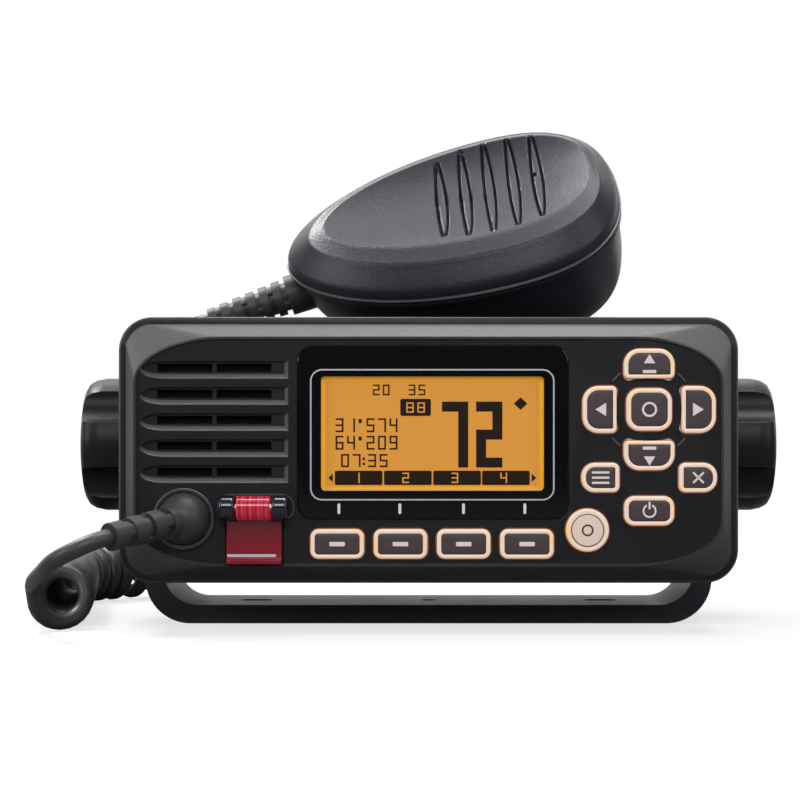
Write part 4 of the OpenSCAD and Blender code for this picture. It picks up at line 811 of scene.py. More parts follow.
# Places of the plain stretches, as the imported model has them
LEAD = [(-77.13, -67.47, 25.48), (-79.1, -69.4, 25), (-81.8, -70.9, 24), (-84.9, -71.3, 22.6),
        (-88, -70.7, 21.1), (-90.6, -69, 19.6), (-92.4, -66.8, 18.2), (-94.3, -63, 16.6),
        (-96.2, -58.6, 15.2), (-97.8, -54.2, 14), (-98.8, -50.4, 12.9)]
DROP = [(-63.2, 76.6, 74.6), (-61.6, 72.4, 78.2), (-60.6, 67.6, 80.5), (-60, 62.2, 80.8),
        (-60, 57, 79.4)]
TAIL = [(-61.2, 51, 77.7), (-64.5, 44.2, 77.4), (-69.5, 37.6, 77.5), (-74, 31, 78),
        (-74.8, 24, 79), (-70.8, 18, 80.3), (-61.54, 15.46, 82.34)]


class RADIO_OT_cord(bpy.types.Operator):
    """Makes the microphone's cord: plain lead, curls, and the stretches up to the microphone"""

    bl_idname = "radio.cord"
    bl_label = "Curly cord"

    def execute(self, context):
        size = sizes(context)
        thick = size.cord_diameter / MM
        radius = thick / 2
        material = finishes(context)["cord"]
        coil = coil_line(size.curl_diameter / MM / 2, radius)
        first, last = coil[1] - coil[0], coil[-1] - coil[-2]
        start = coil[0] - first / np.linalg.norm(first) * thick
        end = coil[-1] + last / np.linalg.norm(last) * thick
        lead = smooth_route(LEAD + [tuple(start), tuple(coil[0])])[:-8]
        drop = smooth_route([tuple(coil[-1]), tuple(end)] + DROP)
        tail = smooth_route([DROP[-1]] + TAIL)
        stretches = (
            ("lead_cord", lead, ("radio", "bracket"), ("cord_lead",), "loose"),
            ("curly_cord", np.vstack([[start], coil]), ("bracket",),
             ("cord_coil_side", "cord_coil_rear"), "hanging"),
            ("drop_cord", drop, ("bracket", "radio"), ("cord_drop",), "loose"),
            ("tail_cord", tail, ("radio", "microphone"), ("cord_tail",), "loose"),
        )
        for name, line, bodies, nodes, lay in stretches:
            piece = tube(name, line, radius)
            if len(bodies) == 1:
                dress(piece, bodies[0], material)
            else:
                dress(piece, None, material)
                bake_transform(piece)
            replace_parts(piece, *nodes)
        return {"FINISHED"}


# ---- Front case ----


class RADIO_OT_front_case(bpy.types.Operator):
    """Dresses the moulded front case, its gland ring and the case's gasket"""

    bl_idname = "radio.front_case"
    bl_label = "Front case"

    def execute(self, context):
        made, size = finishes(context), sizes(context)
        case = bevelled_copy("front_panel", size.case_edge / MM, 3, pierced=True)
        dress(case, "radio", made["case"])
        self.regions(case.data, made)
        # The case's and the gland ring's rounded edges take the lighter edge finish, a painted
        # highlight.
        lit_edges(case, made["edge"])
        dressed_copy("gland_ring", 0.25, 3, "radio", made["case"], made["edge"])
        dress_inner(made, [("panel_gasket", "rubber")])
        return {"FINISHED"}

    def regions(self, mesh, made):
        """Finer finish on the face, and the frame's own on what slopes in front of the rim, painted
        lighter towards the top as a highlight.
        """
        middle = np.empty((len(mesh.polygons), 3))
        normal = np.empty_like(middle)
        mesh.polygons.foreach_get("center", middle.ravel())
        mesh.polygons.foreach_get("normal", normal.ravel())
        y = middle[:, 1] / MM
        slant = np.abs(normal[:, 1])
        level, steep = 0.97, 0.35
        index = np.where((slant > level) & (y > FACE_Y - 0.2) & (y < PLATE_BACK_Y), 1, 0)
        index = np.where((slant < level) & (slant > steep) & (y < RIM_Y), 2, index)
        mesh.materials.append(made["face"])
        mesh.materials.append(made["frame"])
        mesh.polygons.foreach_set("material_index", index.astype(np.int32))


# ---- Display ----

SEGMENTS = {
    "0": "abcdef", "1": "bc", "2": "abged", "3": "abgcd", "4": "fgbc", "5": "afgcd",
    "6": "afgedc", "7": "abc", "8": "abcdefg", "9": "gfabcd",
}

# Digits on the picture: text, left, top, width, height, stroke and step, in millimetres
DIGITS = [
    ("72", 3.4, 58.6, 6.6, 16.6, 2.5, 8.6),
    ("20", -14.0, 62.9, 1.7, 2.7, 0.36, 2.5),
    ("35", -5.0, 62.9, 1.7, 2.7, 0.36, 2.5),
    ("31", -23.4, 54.4, 2.0, 3.5, 0.42, 2.9),
    ("574", -15.6, 54.4, 2.0, 3.5, 0.42, 2.9),
    ("64", -23.4, 50.0, 2.0, 3.5, 0.42, 2.9),
    ("209", -15.6, 50.0, 2.0, 3.5, 0.42, 2.9),
    ("07", -22.0, 45.4, 2.0, 3.3, 0.42, 2.9),
    ("35", -15.2, 45.4, 2.0, 3.3, 0.42, 2.9),
]
DOTS = [
    (-16.6, -16.0, 43.9, 44.5),
    (-16.6, -16.0, 42.6, 43.2),
    (-17.6, -16.8, 53.2, 54.2),
    (-17.6, -16.8, 48.8, 49.8),
]
TAG_DIGITS = [("88", -5.6, 58.4, 1.9, 2.6, 0.34, 2.8)]
TAG_DIGITS += [(str(i + 1), x, 40.7, 1.7, 2.6, 0.34, 2.5)
               for i, x in enumerate((-19.0, -6.6, 5.8, 18.1))]


def digit_bars(text, x, top, width, height, stroke, step):
    """Outlines of seven-bar digits: each bar is a rectangle along one side of a box that is
    crossed at its middle. The upright bars end where they meet a level one."""
    bars = []
    for i, sign in enumerate(text):
        lit = SEGMENTS[sign]
        x0 = x + i * step
        x1, mid, low = x0 + width, top - height / 2, top - height
        half = stroke / 2 if "g" in lit else 0.0
        upper = top - stroke if "a" in lit else top
        lower = low + stroke if "d" in lit else low
        box = {
            "a": (x0, x1, top - stroke, top), "d": (x0, x1, low, low + stroke),
            "g": (x0, x1, mid - stroke / 2, mid + stroke / 2),
            "b": (x1 - stroke, x1, mid + half, upper), "c": (x1 - stroke, x1, lower, mid - half),
            "f": (x0, x0 + stroke, mid + half, upper), "e": (x0, x0 + stroke, lower, mid - half),
        }
        for bar in lit:
            l, r, b, t = box[bar]
            bars.append(np.array([(l, b), (r, b), (r, t), (l, t)], float))
    return bars


class RADIO_OT_display(bpy.types.Operator):
    """Makes the gloss lens with its printed line and the amber picture behind it"""

    bl_idname = "radio.display"
    bl_label = "Display"

    def execute(self, context):
        made = finishes(context)
        self.lens(made)
        self.picture(context, made)
        dress_inner(made, [("lcd_holder", "holder")])
        return {"FINISHED"}

    def lens(self, made):
        """A plate with a window: rings from the outer edge, over the front, down into the window
        and back behind."""
        rings = [at_depth(drawn_in(LENS_BOX, inset, 4.0), LENS_Y + back)
                 for inset, back in ((0, 1.5), (0, 0.3), (0.09, 0.09), (0.3, 0))]
        rings += [at_depth(drawn_in(WINDOW_BOX, inset, 0.9), LENS_Y + back)
                  for inset, back in ((-0.15, 0), (0, 0.15), (0, 1.5))]
        lens = looped("display_lens_look", rings, smooth=15)
        dress(lens, "radio", made["lens"])
        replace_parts(lens, "display_lens")
        line = flat_band("display_line", lambda inset: drawn_in(LINE_BOX, inset, 3.0), 0, 0.36,
                         LENS_Y, LENS_Y - PRINT)
        dress(line, "radio", made["line"])
        # Printed ticks on the lens, in the key marks' finish, whose faint glow here is painted
        # light.
        ticks = [plate(x - 0.36, x + 0.36, 30.35, 33.0, 0.3) for x in (-22.5, -7.2, 8.8, 24.2)]
        dress(prisms("display_ticks", ticks, LENS_Y - PRINT, LENS_Y + 0.05), "radio",
              made["mark"])

    def picture(self, context, made):
        """The lit picture, the dark digits and tags on it, and lit digits on the tags."""
        amber = self.amber(colours(context))
        glass = solid("lcd_picture", [at_depth(plate(*WINDOW_BOX, 0.8), y)
                                      for y in (PICTURE_Y + 0.6, PICTURE_Y)])
        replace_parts(dress(glass, "radio", amber), "lcd_panel")
        bars = [bar for row in DIGITS for bar in digit_bars(*row)] + [plate(*dot) for dot in DOTS]
        tags = [plate(-7.1, 0.6, 55.0, 59.3, 0.5)]
        tags += [plate(x, x + 12.0, 37.6, 41.2, 0.4) for x in (-23.6, -11.2, 1.2, 13.5)]
        tags += [np.array([(21.5, 58.1), (23.2, 56.5), (24.9, 58.1), (23.2, 59.7)]),
                 np.array([(-25.2, 39.4), (-24.1, 38.3), (-24.1, 40.5)]),
                 np.array([(26.0, 38.3), (27.1, 39.4), (26.0, 40.5)])]
        signs = [bar for row in TAG_DIGITS for bar in digit_bars(*row)]
        for name, outlines, front, back, material in (
            ("lcd_ink", bars, 0.06, 0.02, made["ink"]),
            ("lcd_tags", tags, 0.06, 0.02, made["ink"]),
            ("lcd_signs", signs, 0.1, -0.04, amber),
        ):
            dress(prisms(name, outlines, PICTURE_Y - front, PICTURE_Y + back), "radio", material)

    def amber(self, c):
        """Lit amber: brighter towards the picture's border, with its fine grid of dots."""
        material, tree, shader = new_material("Amber picture")
        shader.inputs["Roughness"].default_value = 0.5
        shader.inputs["Specular IOR Level"].default_value = 0.2
        shader.inputs["Emission Strength"].default_value = 0.36
        place = place_axes(tree)
        edges, grids = [], []
        for axis, middle, reach in (("X", 0.001, 0.0266), ("Z", 0.0506, 0.0131)):
            away = maths(tree, "ABSOLUTE", maths(tree, "SUBTRACT", place[axis], middle))
            edges.append(maths(tree, "SUBTRACT", away, reach))
            dots_per_metre = maths(tree, "MULTIPLY", place[axis], 2400.0)
            grids.append(maths(tree, "PINGPONG", dots_per_metre, 0.5))
        border = maths(tree, "MULTIPLY", maths(tree, "MAXIMUM", *edges), 1400.0, True)
        dots = maths(tree, "MULTIPLY", maths(tree, "MINIMUM", *grids), 0.16)
        tint = blended(tree, border, (*c.amber, 1), (*c.amber_edge, 1))
        tint = blended(tree, dots, tint, (0.75, 0.38, 0.09, 1))
        tree.links.new(tint, shader.inputs["Base Color"])
        tree.links.new(tint, shader.inputs["Emission Color"])
        return material


# ---- Keys ----

# Each key's node, middle, size, corner radii from the top left clockwise, and hollow side
SOFTKEY_PITCH = 15.87
KEYS = [
    *((f"softkey_{i + 1}", (-22.905 + SOFTKEY_PITCH * i, 22.85), (13.4, 7.4), (2, 2, 2, 2), (0, 0))
      for i in range(4)),
    ("key_up", (55.4, 68.0), (12.7, 7.7), (4, 4, 1.6, 1.6), (0, -1)),
    ("key_down", (55.4, 45.2), (12.7, 7.7), (1.6, 1.6, 4, 4), (0, 1)),
    ("key_left", (43.1, 56.6), (8.8, 11.8), (4, 1.6, 1.6, 4), (1, 0)),
    ("key_right", (67.7, 56.6), (8.8, 11.8), (1.6, 4, 4, 1.6), (-1, 0)),
    ("key_centre", PAD_MIDDLE, (11.3, 10.6), (3.3, 3.3, 3.3, 3.3), (0, 0)),
    ("key_menu", (43.15, 39.5), (9.5, 7.4), (3.4, 1.6, 1.6, 3.4), (0, 0)),
    ("key_clear", (67.65, 39.5), (9.5, 7.4), (1.6, 3.4, 3.4, 1.6), (0, 0)),
    ("key_power", (55.4, 31.15), (12.5, 7.4), (2.6, 2.6, 2.6, 2.6), (0, 0)),
    ("key_round", (39.9, 26.3), (10.8, 10.8), (5.4, 5.4, 5.4, 5.4), (0, 0)),
]


def key_outline(key, inset):
    """A key's outline drawn in by an inset: a box with round corners whose hollow side bows in
    by 0.7 mm times 1 - (distance along it / half its length) squared."""
    _, middle, size, radii, hollow = key
    half = np.array(size) / 2 - inset
    r = np.maximum(np.array(radii, float) - inset, 0.25)
    p = round_corners([(half[0] - r[2], r[2] - half[1], r[2], -90),
                       (half[0] - r[1], half[1] - r[1], r[1], 0),
                       (r[0] - half[0], half[1] - r[0], r[0], 90),
                       (r[3] - half[0], r[3] - half[1], r[3], 180)], steps=12)
    hollow = np.array(hollow, float)
    if hollow.any():
        along = p @ hollow[::-1] / (half @ np.abs(hollow[::-1]))
        near = 0.5 + (p @ hollow) / (half @ np.abs(hollow)) / 2
        p = p - 0.7 * ((1 - along**2) * near)[:, None] * hollow
    return p + np.array(middle)


def arrow(x, z, way, size=2.3):
    """A triangle that points along a way."""
    a, b = np.array(way, float), np.array((-way[1], way[0]), float)
    return np.array([(x, z) + size * 0.55 * a, (x, z) - size * 0.45 * a + size * 0.62 * b,
                     (x, z) - size * 0.45 * a - size * 0.62 * b])


def ring_outlines(x, z, r, width, turn=0.0, sweep=360.0, steps=48):
    """A ring, or part of one, as short plates side by side."""
    t = np.radians(turn + np.linspace(0, sweep, steps + 1))
    inner = np.stack([x + (r - width) * np.cos(t), z + (r - width) * np.sin(t)], axis=-1)
    outer = np.stack([x + r * np.cos(t), z + r * np.sin(t)], axis=-1)
    return [np.array([inner[i], outer[i], outer[i + 1], inner[i + 1]]) for i in range(steps)]


def key_marks(key):
    """Plain marks on one key's cap: arrows, bars, a ring or a dash, and no words."""
    name, (x, z) = key[0], key[1]
    if name.startswith("softkey"):
        return [plate(x - 1.95, x + 1.95, z - 0.55, z + 0.55, 0.3)]
    if name == "key_up":
        return [arrow(x, z + 1.2, (0, 1)), plate(x - 1.7, x + 1.7, z - 2.3, z - 1.5, 0.2)]
    if name == "key_down":
        return [arrow(x, z - 1.4, (0, -1)), plate(x - 1.7, x + 1.7, z + 1.3, z + 2.1, 0.2)]
    if name == "key_left":
        return [arrow(x + 0.2, z, (-1, 0), 2.7)]
    if name == "key_right":
        return [arrow(x - 0.2, z, (1, 0), 2.7)]
    if name == "key_centre":
        return ring_outlines(x, z, 1.9, 0.55)
    if name == "key_menu":
        return [plate(x - 2.2, x + 2.2, z + d - 0.28, z + d + 0.28, 0.15) for d in (-1.3, 0, 1.3)]
    if name == "key_clear":
        turn = np.array([[1, -1], [1, 1]]) / math.sqrt(2)
        bar = plate(-1.9, 1.9, -0.26, 0.26, 0.15)
        half = plate(-0.26, 0.26, -1.9, 1.9, 0.15)
        return [bar @ turn.T + (x, z), half @ turn.T + (x, z)]
    if name == "key_power":
        return ring_outlines(x, z, 1.75, 0.45, 115, 310, 40) + [
            plate(x - 0.25, x + 0.25, z + 0.4, z + 2.3, 0.1)]
    return ring_outlines(x, z, 4.15, 0.22) + ring_outlines(x, z, 1.5, 0.45)


class RADIO_OT_keys(bpy.types.Operator):
    """Makes the keys: a pale lit rim, a dark cap and its plain mark"""

    bl_idname = "radio.keys"
    bl_label = "Keys"

    def execute(self, context):
        made = finishes(context)
        rim = sizes(context).key_rim / MM
        for key in KEYS:
            name = key[0]
            pale = name == "key_round"
            body = self.stacked(key, "_body", (
                (-0.9, KEY_BACK_Y), (-0.9, FLANGE_Y), (0, FLANGE_Y), (0, KEY_Y + 0.45),
                (0.06, KEY_Y + 0.22), (0.22, KEY_Y + 0.06), (0.45, KEY_Y), (rim - 0.2, KEY_Y),
                (rim, KEY_Y + 0.1), (rim + 0.05, KEY_Y + 0.5)))
            dress(body, name, made["rim"])
            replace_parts(body, name)
            cap = self.stacked(key, "_cap", (
                (rim - 0.02, KEY_Y + 0.6), (rim - 0.02, KEY_Y + 0.12), (rim + 0.1, KEY_Y + 0.02),
                (rim + 0.3, KEY_Y - 0.02), (rim + 1.1, KEY_Y - 0.06)))
            dress(cap, name, made["pale" if pale else "cap"])
            marks = prisms(name + "_mark", key_marks(key), KEY_Y - 0.1, KEY_Y - 0.02)
            dress(marks, name, made["mark_dark" if pale else "mark"])
        dress_inner(made, [("keypad_mat", "silicone"), ("front_board", "board")])
        self.disc_arcs(made)
        self.glow(made)
        return {"FINISHED"}

    def stacked(self, key, part, levels):
        """A piece of a key through its outline at each (inset, depth)."""
        rings = [at_depth(key_outline(key, inset), y) for inset, y in levels]
        return solid(key[0] + part, rings, smooth=50)

    def glow(self, made):
        """Thin lit rings deep in the gaps round the keys."""
        for key in KEYS:
            ring = flat_band(key[0] + "_glow", partial(key_outline, key), -0.33, -0.05,
                             GLOW_Y + 0.2, GLOW_Y)
            dress(ring, "radio", made["glow"])

    def disc_arcs(self, made):
        """Short raised arcs at the corners of the arrow keys' sunk disc, in the lighter edge finish
        that paints a highlight on them.
        """
        arcs = [outline for turn in (38, 128, 218, 308)
                for outline in ring_outlines(*PAD_MIDDLE, 11.75, 0.35, turn, 14, 8)]
        dress(prisms("pad_arcs", arcs, FACE_Y - 0.12, FACE_Y + 0.1), "radio", made["edge"])


# ---- Distress switch ----


class RADIO_OT_distress(bpy.types.Operator):
    """Dresses the flip cover, its ears, pin and key"""

    bl_idname = "radio.distress"
    bl_label = "Distress switch"

    def execute(self, context):
        made = finishes(context)
        dressed_copy("hinge_ears", 1.6, 5, "radio", made["ears"])
        # A thin raised outline round the hinge pocket, in the lighter edge finish as a painted
        # highlight.
        pocket = flat_band("hinge_pocket", lambda inset: drawn_in(POCKET_BOX, inset, 3.0), 0,
                           0.22, FACE_Y + 0.03, FACE_Y - 0.04)
        dress(pocket, "radio", made["edge"])
        dressed_copy("distress_cover", 0.25, 3, "flip_cover", made["cover"])
        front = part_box("distress_cover")[0][1] / MM
        # A bright bar along the cover's lip, in the silver finish whose faint glow is painted
        # sheen.
        lip = solid("cover_lip", [at_depth(plate(*LIP_BAR_BOX, 0.3), y)
                                  for y in (front + 0.2, front - 0.12)])
        dress(lip, "flip_cover", made["line"])
        dressed_copy("distress_key", 0.3, 3, "distress_key", made["red"])
        dress_inner(made, [("hinge_pin", "steel")])
        return {"FINISHED"}


# ---- Bracket and knobs ----


class RADIO_OT_bracket(bpy.types.Operator):
    """Dresses the bracket with its pads and the clamp knobs with their studs"""

    bl_idname = "radio.bracket"
    bl_label = "Bracket and knobs"

    def execute(self, context):
        made, size = finishes(context), sizes(context)
        dressed_copy("bracket", size.bracket_edge / MM, 3, "bracket", made["bracket"])
        for knob in ("knob_left", "knob_right"):
            # The knobs' rounded edges take a lighter finish, a painted highlight.
            dressed_copy(knob, 0.3, 3, knob, made["knob"], made["knob_edge"])
        dress_inner(made, [("pivot_pads", "rubber"), ("stud_left", "steel"),
                           ("stud_right", "steel")])
        return {"FINISHED"}


# ---- Chassis ----


class RADIO_OT_chassis(bpy.types.Operator):
    """Dresses the chassis, its rear sockets and what it holds"""

    bl_idname = "radio.chassis"
    bl_label = "Chassis"

    def execute(self, context):
        made, size = finishes(context), sizes(context)
        chassis = bevelled_copy("chassis", size.cast_edge / MM, 2, pierced=True)
        dress(chassis, "radio", made["chassis"])
        for node, width, name, slot in (
            ("antenna_socket", 0.2, "nickel", "socket_nickel"),
            ("antenna_insulator", 0.2, "insulator", "insulator_white"),
            ("power_gland", 0.3, "rubber", "rubber_black"),
            ("data_gland", 0.3, "rubber", "rubber_black"),
            ("chassis_screws", 0.15, "steel", "steel_plated"),
        ):
            dressed_copy(node, width, 2, "radio", made[name])
        dress_inner(made, [("speaker", "steel"), ("speaker_net", "cloth"),
                           ("main_board", "board")])
        return {"FINISHED"}


# ---- Strain reliefs ----


class RADIO_OT_boots(bpy.types.Operator):
    """Dresses the strain reliefs at the radio and at the microphone"""

    bl_idname = "radio.boots"
    bl_label = "Strain reliefs"

    def execute(self, context):
        made = finishes(context)
        for node, width, body in (("radio_cord_boot", 0.35, "radio"),
                                  ("mic_boot", 0.3, "microphone")):
            # The boots' rounded edges take a lighter finish, a painted highlight.
            dressed_copy(node, width, 3, body, made["boot"], made["boot_edge_highlight"])
        return {"FINISHED"}


# ---- Microphone ----

MIC_PLACE = np.array((5.9, 4.4, 109.6))
MIC_TURN = np.radians((46.2, -13.65, -3.3))


def mic_axes():
    """Turn of the microphone's own axes into the frame: about X, then Y, then Z."""
    a, b, c = MIC_TURN
    x = np.array([[1, 0, 0], [0, math.cos(a), -math.sin(a)], [0, math.sin(a), math.cos(a)]])
    y = np.array([[math.cos(b), 0, math.sin(b)], [0, 1, 0], [-math.sin(b), 0, math.cos(b)]])
    z = np.array([[math.cos(c), -math.sin(c), 0], [math.sin(c), math.cos(c), 0], [0, 0, 1]])
    return z @ y @ x


def placed_mic(points):
    """Points on the microphone's own axes, in the frame."""
    return np.asarray(points, float) @ mic_axes().T + MIC_PLACE


def egg(stations, count):
    """Rings of the microphone's egg outline, from rows of how far each is drawn in at the head,
    the cord end and the sides, its height and how far that leans with the length. At angle t a
    ring is k (a cos t, b sin t) from the widest place, where
    k = (|cos t|^p + |sin t|^p)^(-1/p), with one a and p towards the head and others towards the
    cord."""
    rows = np.asarray(stations, float)[:, :, None]
    t = np.linspace(0, 2 * np.pi, count, endpoint=False)
    ahead = np.cos(t) >= 0
    p = np.where(ahead, 2.5, 1.88)
    k = (np.abs(np.cos(t)) ** p + np.abs(np.sin(t)) ** p) ** (-1 / p)
    x = 11.9 + np.where(ahead, 35.0 - rows[:, 0], 58.8 - rows[:, 1]) * k * np.cos(t)
    y = (30.3 - rows[:, 2]) * k * np.sin(t)
    return np.stack([x, y, rows[:, 3] * (1 + rows[:, 4] * x)], axis=-1)


def even(rows):
    """Rows of the egg outline that are drawn in by as much all round, from insets and heights."""
    return [(inset, inset, inset, height, 0) for inset, height in rows]


def straight_rows(first, last, count):
    """Evenly spaced rows from one given row to another, which is left out."""
    share = (np.arange(count) / count)[:, None]
    return np.asarray(first, float) * (1 - share) + np.asarray(last, float) * share


def leaf_depth(x, y, middle, long, wide, lean_deg):
    """Distance inside a leaf outline, which two circles of radius (long^2 + wide^2) / (4 wide)
    share, and the place along it from -1 to 1."""
    a = math.radians(lean_deg)
    u = (x - middle[0]) * math.cos(a) + (y - middle[1]) * math.sin(a)
    v = (y - middle[1]) * math.cos(a) - (x - middle[0]) * math.sin(a)
    r = (long * long + wide * wide) / (4 * wide)
    return r - np.hypot(np.abs(u) + r - wide / 2, v), 2 * v / long, u


def step_up(x, low, high):
    """Smooth step from 0 to 1: 3 s^2 - 2 s^3 with s the share of the way from low to high."""
    s = np.clip((x - low) / (high - low), 0, 1)
    return s * s * (3 - 2 * s)


def cut_openings(piece, cutters):
    """Cuts openings into a piece with other closed pieces, and removes these."""
    for cutter in cutters:
        opening = piece.modifiers.new("Opening", "BOOLEAN")
        opening.operation = "DIFFERENCE"
        opening.solver = "EXACT"
        opening.object = cutter
    graph = bpy.context.evaluated_depsgraph_get()
    mesh = bpy.data.meshes.new_from_object(piece.evaluated_get(graph))
    piece.modifiers.clear()
    whole = piece.data
    piece.data = mesh
    bpy.data.meshes.remove(whole)
    for cutter in cutters:
        shape = cutter.data
        bpy.data.objects.remove(cutter)
        bpy.data.meshes.remove(shape)
    mesh.set_sharp_from_angle(angle=math.radians(38))


FRONT_POINTS = 560
BACK_POINTS = 240


class RADIO_OT_microphone(bpy.types.Operator):
    """Makes the microphone's shells and dresses its button, hanger and screws"""

    bl_idname = "radio.microphone"
    bl_label = "Microphone"

    def execute(self, context):
        made = finishes(context)
        self.front(made)
        self.back(made)
        dressed_copy("mic_talk_button", 0.8, 4, "talk_button", made["rubber"])
        dressed_copy("mic_hanger_button", 0.3, 3, "microphone", made["steel"])
        dress_inner(made, [("mic_board", "board"), ("mic_capsule", "steel"),
                           ("mic_screws", "steel")])
        return {"FINISHED"}

    def front(self, made):
        """The front shell: its inner wall, the flange with a thin rib, a soft shoulder up to a
        crease, a strip that still rises inwards and the dished face, set 1.7 mm off the middle,
        whose depth is 2.9 (1 - (1 - s)^2.4) at a share s of the way to its middle. Five slots are
        sunk in it, deepest along their edges and with a small bump near their upper ends. A small
        round hole beside them lets sound in."""
        inner = egg([(12, 20, 14, 2.0, 0), (5, 8, 7, 1.6, 0), (2.4, 2.6, 2.4, -1.2, 0),
                     (2.2, 2.2, 2.2, -5.0, 0)], FRONT_POINTS)
        outer = egg(even([(1.0, -5.0), (0.25, -4.85), (0, -4.5), (0.05, -3.3), (0.45, -3.15),
                          (0.45, -2.75), (0, -2.6), (-0.1, -2.35), (0, -2.1), (0.4, -1.9)]),
                    FRONT_POINTS)
        rise = smooth_route([(0.35, 0.35, 0.35, -1.5, 0), (0.5, 0.5, 0.5, -0.4, 0),
                             (0.9, 1.2, 1.1, 0.9, 0), (2.0, 3.2, 2.7, 2.4, 0),
                             (3.4, 6.1, 5.0, 4.3, 0), (4.0, 7.5, 6.1, 5.25, 0)], 5)
        shoulder = egg(rise, FRONT_POINTS)
        crease = egg([(4.2, 8.0, 6.5, 5.55, 0), (4.35, 8.35, 6.8, 5.66, 0)], FRONT_POINTS)
        edge = np.array((6.3, 12.8, 11.2, 6.6, 0))
        strip_rows, dish_rows, shift, depth = 6, 124, 1.7, 2.9
        strip = egg(straight_rows((4.6, 9.0, 7.3, 5.72, 0), edge - (0.1, 0.35, 0.35, 0.03, 0),
                                  strip_rows), FRONT_POINTS)
        strip[..., 1] += shift * (np.arange(strip_rows) / strip_rows)[:, None]
        dish = egg(straight_rows(edge, (35.0, 58.8, 30.3, 6.6, 0), dish_rows), FRONT_POINTS)
        share = (np.arange(dish_rows) / dish_rows)[:, None]
        x, y = dish[..., 0], dish[..., 1] + shift
        z = dish[..., 2] - depth * (1 - (1 - share) ** 2.4)
        slot_pitch, slot_width, slot_lean = 6.8, 3.6, -4
        for i in range(5):
            long = 38.8 - 1.3 * (i - 2.4) ** 2
            place = (12.5 + (i - 2) * slot_pitch, 2.8)
            leaf, along, side = leaf_depth(x, y, place, 1.3 * long, slot_width, slot_lean)
            inside = np.minimum(leaf, (1 / 1.3 - np.abs(along)) * long * 0.65)
            groove = 1.3 * step_up(inside, 0.0, 0.32)
            floor = 0.95 * step_up(inside, 0.34, 0.95)
            bump = np.exp(-((along - 0.7) * long * 0.65) ** 2 / 0.9 - side**2 / 0.5)
            z = z - groove + floor + bump * step_up(inside, -0.1, 0.3)
        hole_x, hole_y, hole_radius, hole_depth = 25.6, 5.5, 0.85, 1.0
        away = np.hypot(x - hole_x, y - hole_y)
        z = z - hole_depth * step_up(hole_radius - away, 0.0, 0.35)
        dish = np.stack([x, y, z], axis=-1)
        grid = np.concatenate([inner, outer, shoulder, crease, strip, dish])
        shell = solid("mic_front", placed_mic(grid), smooth=48)
        dress(shell, "microphone", made["microphone"])
        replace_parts(shell, "mic_front_shell")
        # The thin rib below the flange takes the lighter edge finish, a painted highlight line.
        rib = egg(even([(0.3, -2.65), (-0.12, -2.55), (-0.25, -2.3), (-0.12, -2.1), (0.3, -2.0)]),
                  BACK_POINTS)
        dress(looped("mic_rib", placed_mic(rib)), "microphone", made["edge"])

    def back(self, made):
        """The back shell: a bowl with a wall, opened for the talk button, the hanger's stem and
        the strain relief."""
        lean = 0.004
        inner = egg([(12, 16, 12, -27.2, lean), (7, 9, 8, -24, lean), (4.4, 5.6, 5.4, -16, lean),
                     (4, 4.4, 4.4, -5, 0)], BACK_POINTS)
        bottom = (17, 24, 16, -30, lean)
        bowl = smooth_route([(1.2, 1.6, 1.6, -8, lean), (1.8, 3, 2.8, -16, lean),
                             (3.4, 5, 4.6, -22.5, lean), (6.5, 8.5, 7, -27, lean),
                             (11, 15, 10.5, -29.4, lean), bottom], 5)
        outer = egg([(1.2, 1.6, 1.6, -5, 0), *bowl], BACK_POINTS)
        middle = egg(straight_rows(bottom, (35, 58.8, 30.3, -30, lean), 8)[1:], BACK_POINTS)
        shell = solid("mic_back", placed_mic(np.concatenate([inner, outer, middle])), smooth=48)
        talk = [at_depth(round_box(-11.3, 19.3, -17.8, -8.2, 3.0), y) for y in (18, 32)]
        t = np.linspace(0, 2 * np.pi, 48, endpoint=False)
        turn = math.radians(5.5)
        ahead = np.array([-math.cos(turn), -math.sin(turn), 0])
        side = np.array([math.sin(turn), -math.cos(turn), 0])
        around = np.cos(t)[:, None] * side + np.sin(t)[:, None] * np.array([0, 0, 1.0])
        boot_place, boot_radius = np.array((-45.6, 0, -12.4)), 5.7
        boot = [boot_place + d * ahead + boot_radius * around for d in (-4.1, 9.0)]
        stem_x, stem_radius = 6, 1.9
        stem = [np.stack([stem_x + stem_radius * np.cos(t), stem_radius * np.sin(t),
                          np.full(len(t), z)], axis=-1) for z in (-36, -20)]
        cutters = [solid("cutter", placed_mic(rings)) for rings in (talk, boot, stem)]
        cut_openings(shell, cutters)
        dress(shell, "microphone", made["microphone"])
        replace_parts(shell, "mic_back_shell")


# ---- Panel and run ----

STEPS = (
    RADIO_OT_stage,
    RADIO_OT_cord,
    RADIO_OT_front_case,
    RADIO_OT_display,
    RADIO_OT_keys,
    RADIO_OT_distress,
    RADIO_OT_bracket,
    RADIO_OT_chassis,
    RADIO_OT_boots,
    RADIO_OT_microphone,
)


class RADIO_PT_looks(bpy.types.Panel):
    """Lists the steps that dress the radio, with its sizes and colours"""

    bl_label = "Marine radio"
    bl_idname = "RADIO_PT_looks"
    bl_space_type = "VIEW_3D"
    bl_region_type = "UI"
    bl_category = "Marine radio"

    def draw(self, context):
        for step in STEPS:
            self.layout.operator(step.bl_idname)
        for owner in (sizes(context), colours(context)):
            for name in owner.__annotations__:
                self.layout.prop(owner, name)


CLASSES = (RADIO_PG_sizes, RADIO_PG_colours, *STEPS, RADIO_PT_looks)


def register():
    for item in CLASSES:
        bpy.utils.register_class(item)
    bpy.types.Scene.radio_sizes = bpy.props.PointerProperty(type=RADIO_PG_sizes)
    bpy.types.Scene.radio_colours = bpy.props.PointerProperty(type=RADIO_PG_colours)


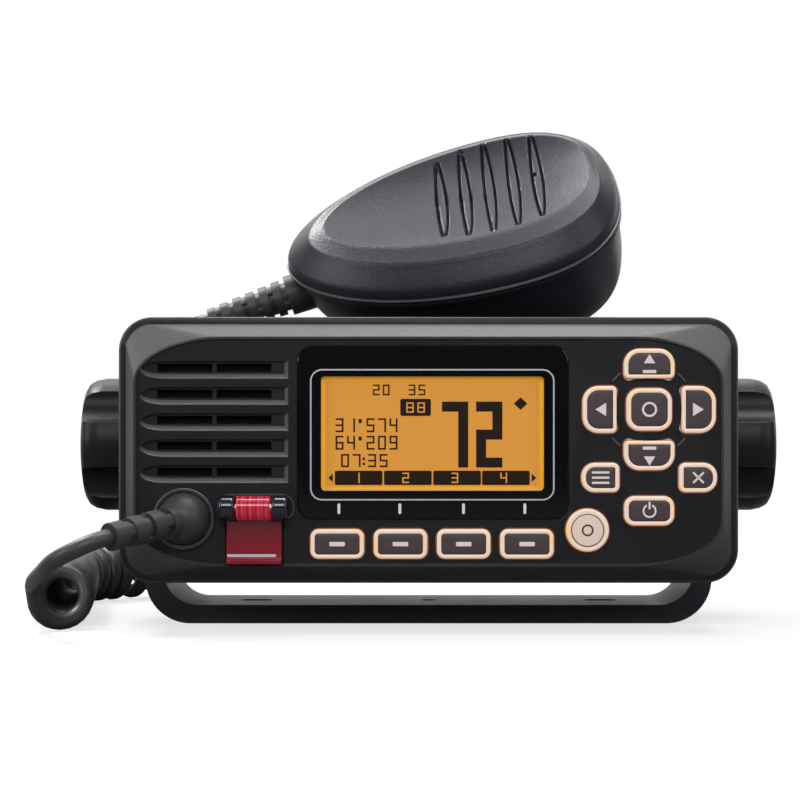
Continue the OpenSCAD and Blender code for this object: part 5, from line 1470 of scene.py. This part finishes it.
def unregister():
    del bpy.types.Scene.radio_colours
    del bpy.types.Scene.radio_sizes
    for item in reversed(CLASSES):
        bpy.utils.unregister_class(item)


def main():
    register()
    for step in STEPS:
        area, name = step.bl_idname.split(".")
        getattr(getattr(bpy.ops, area), name)()


if __name__ == "__main__":
    main()
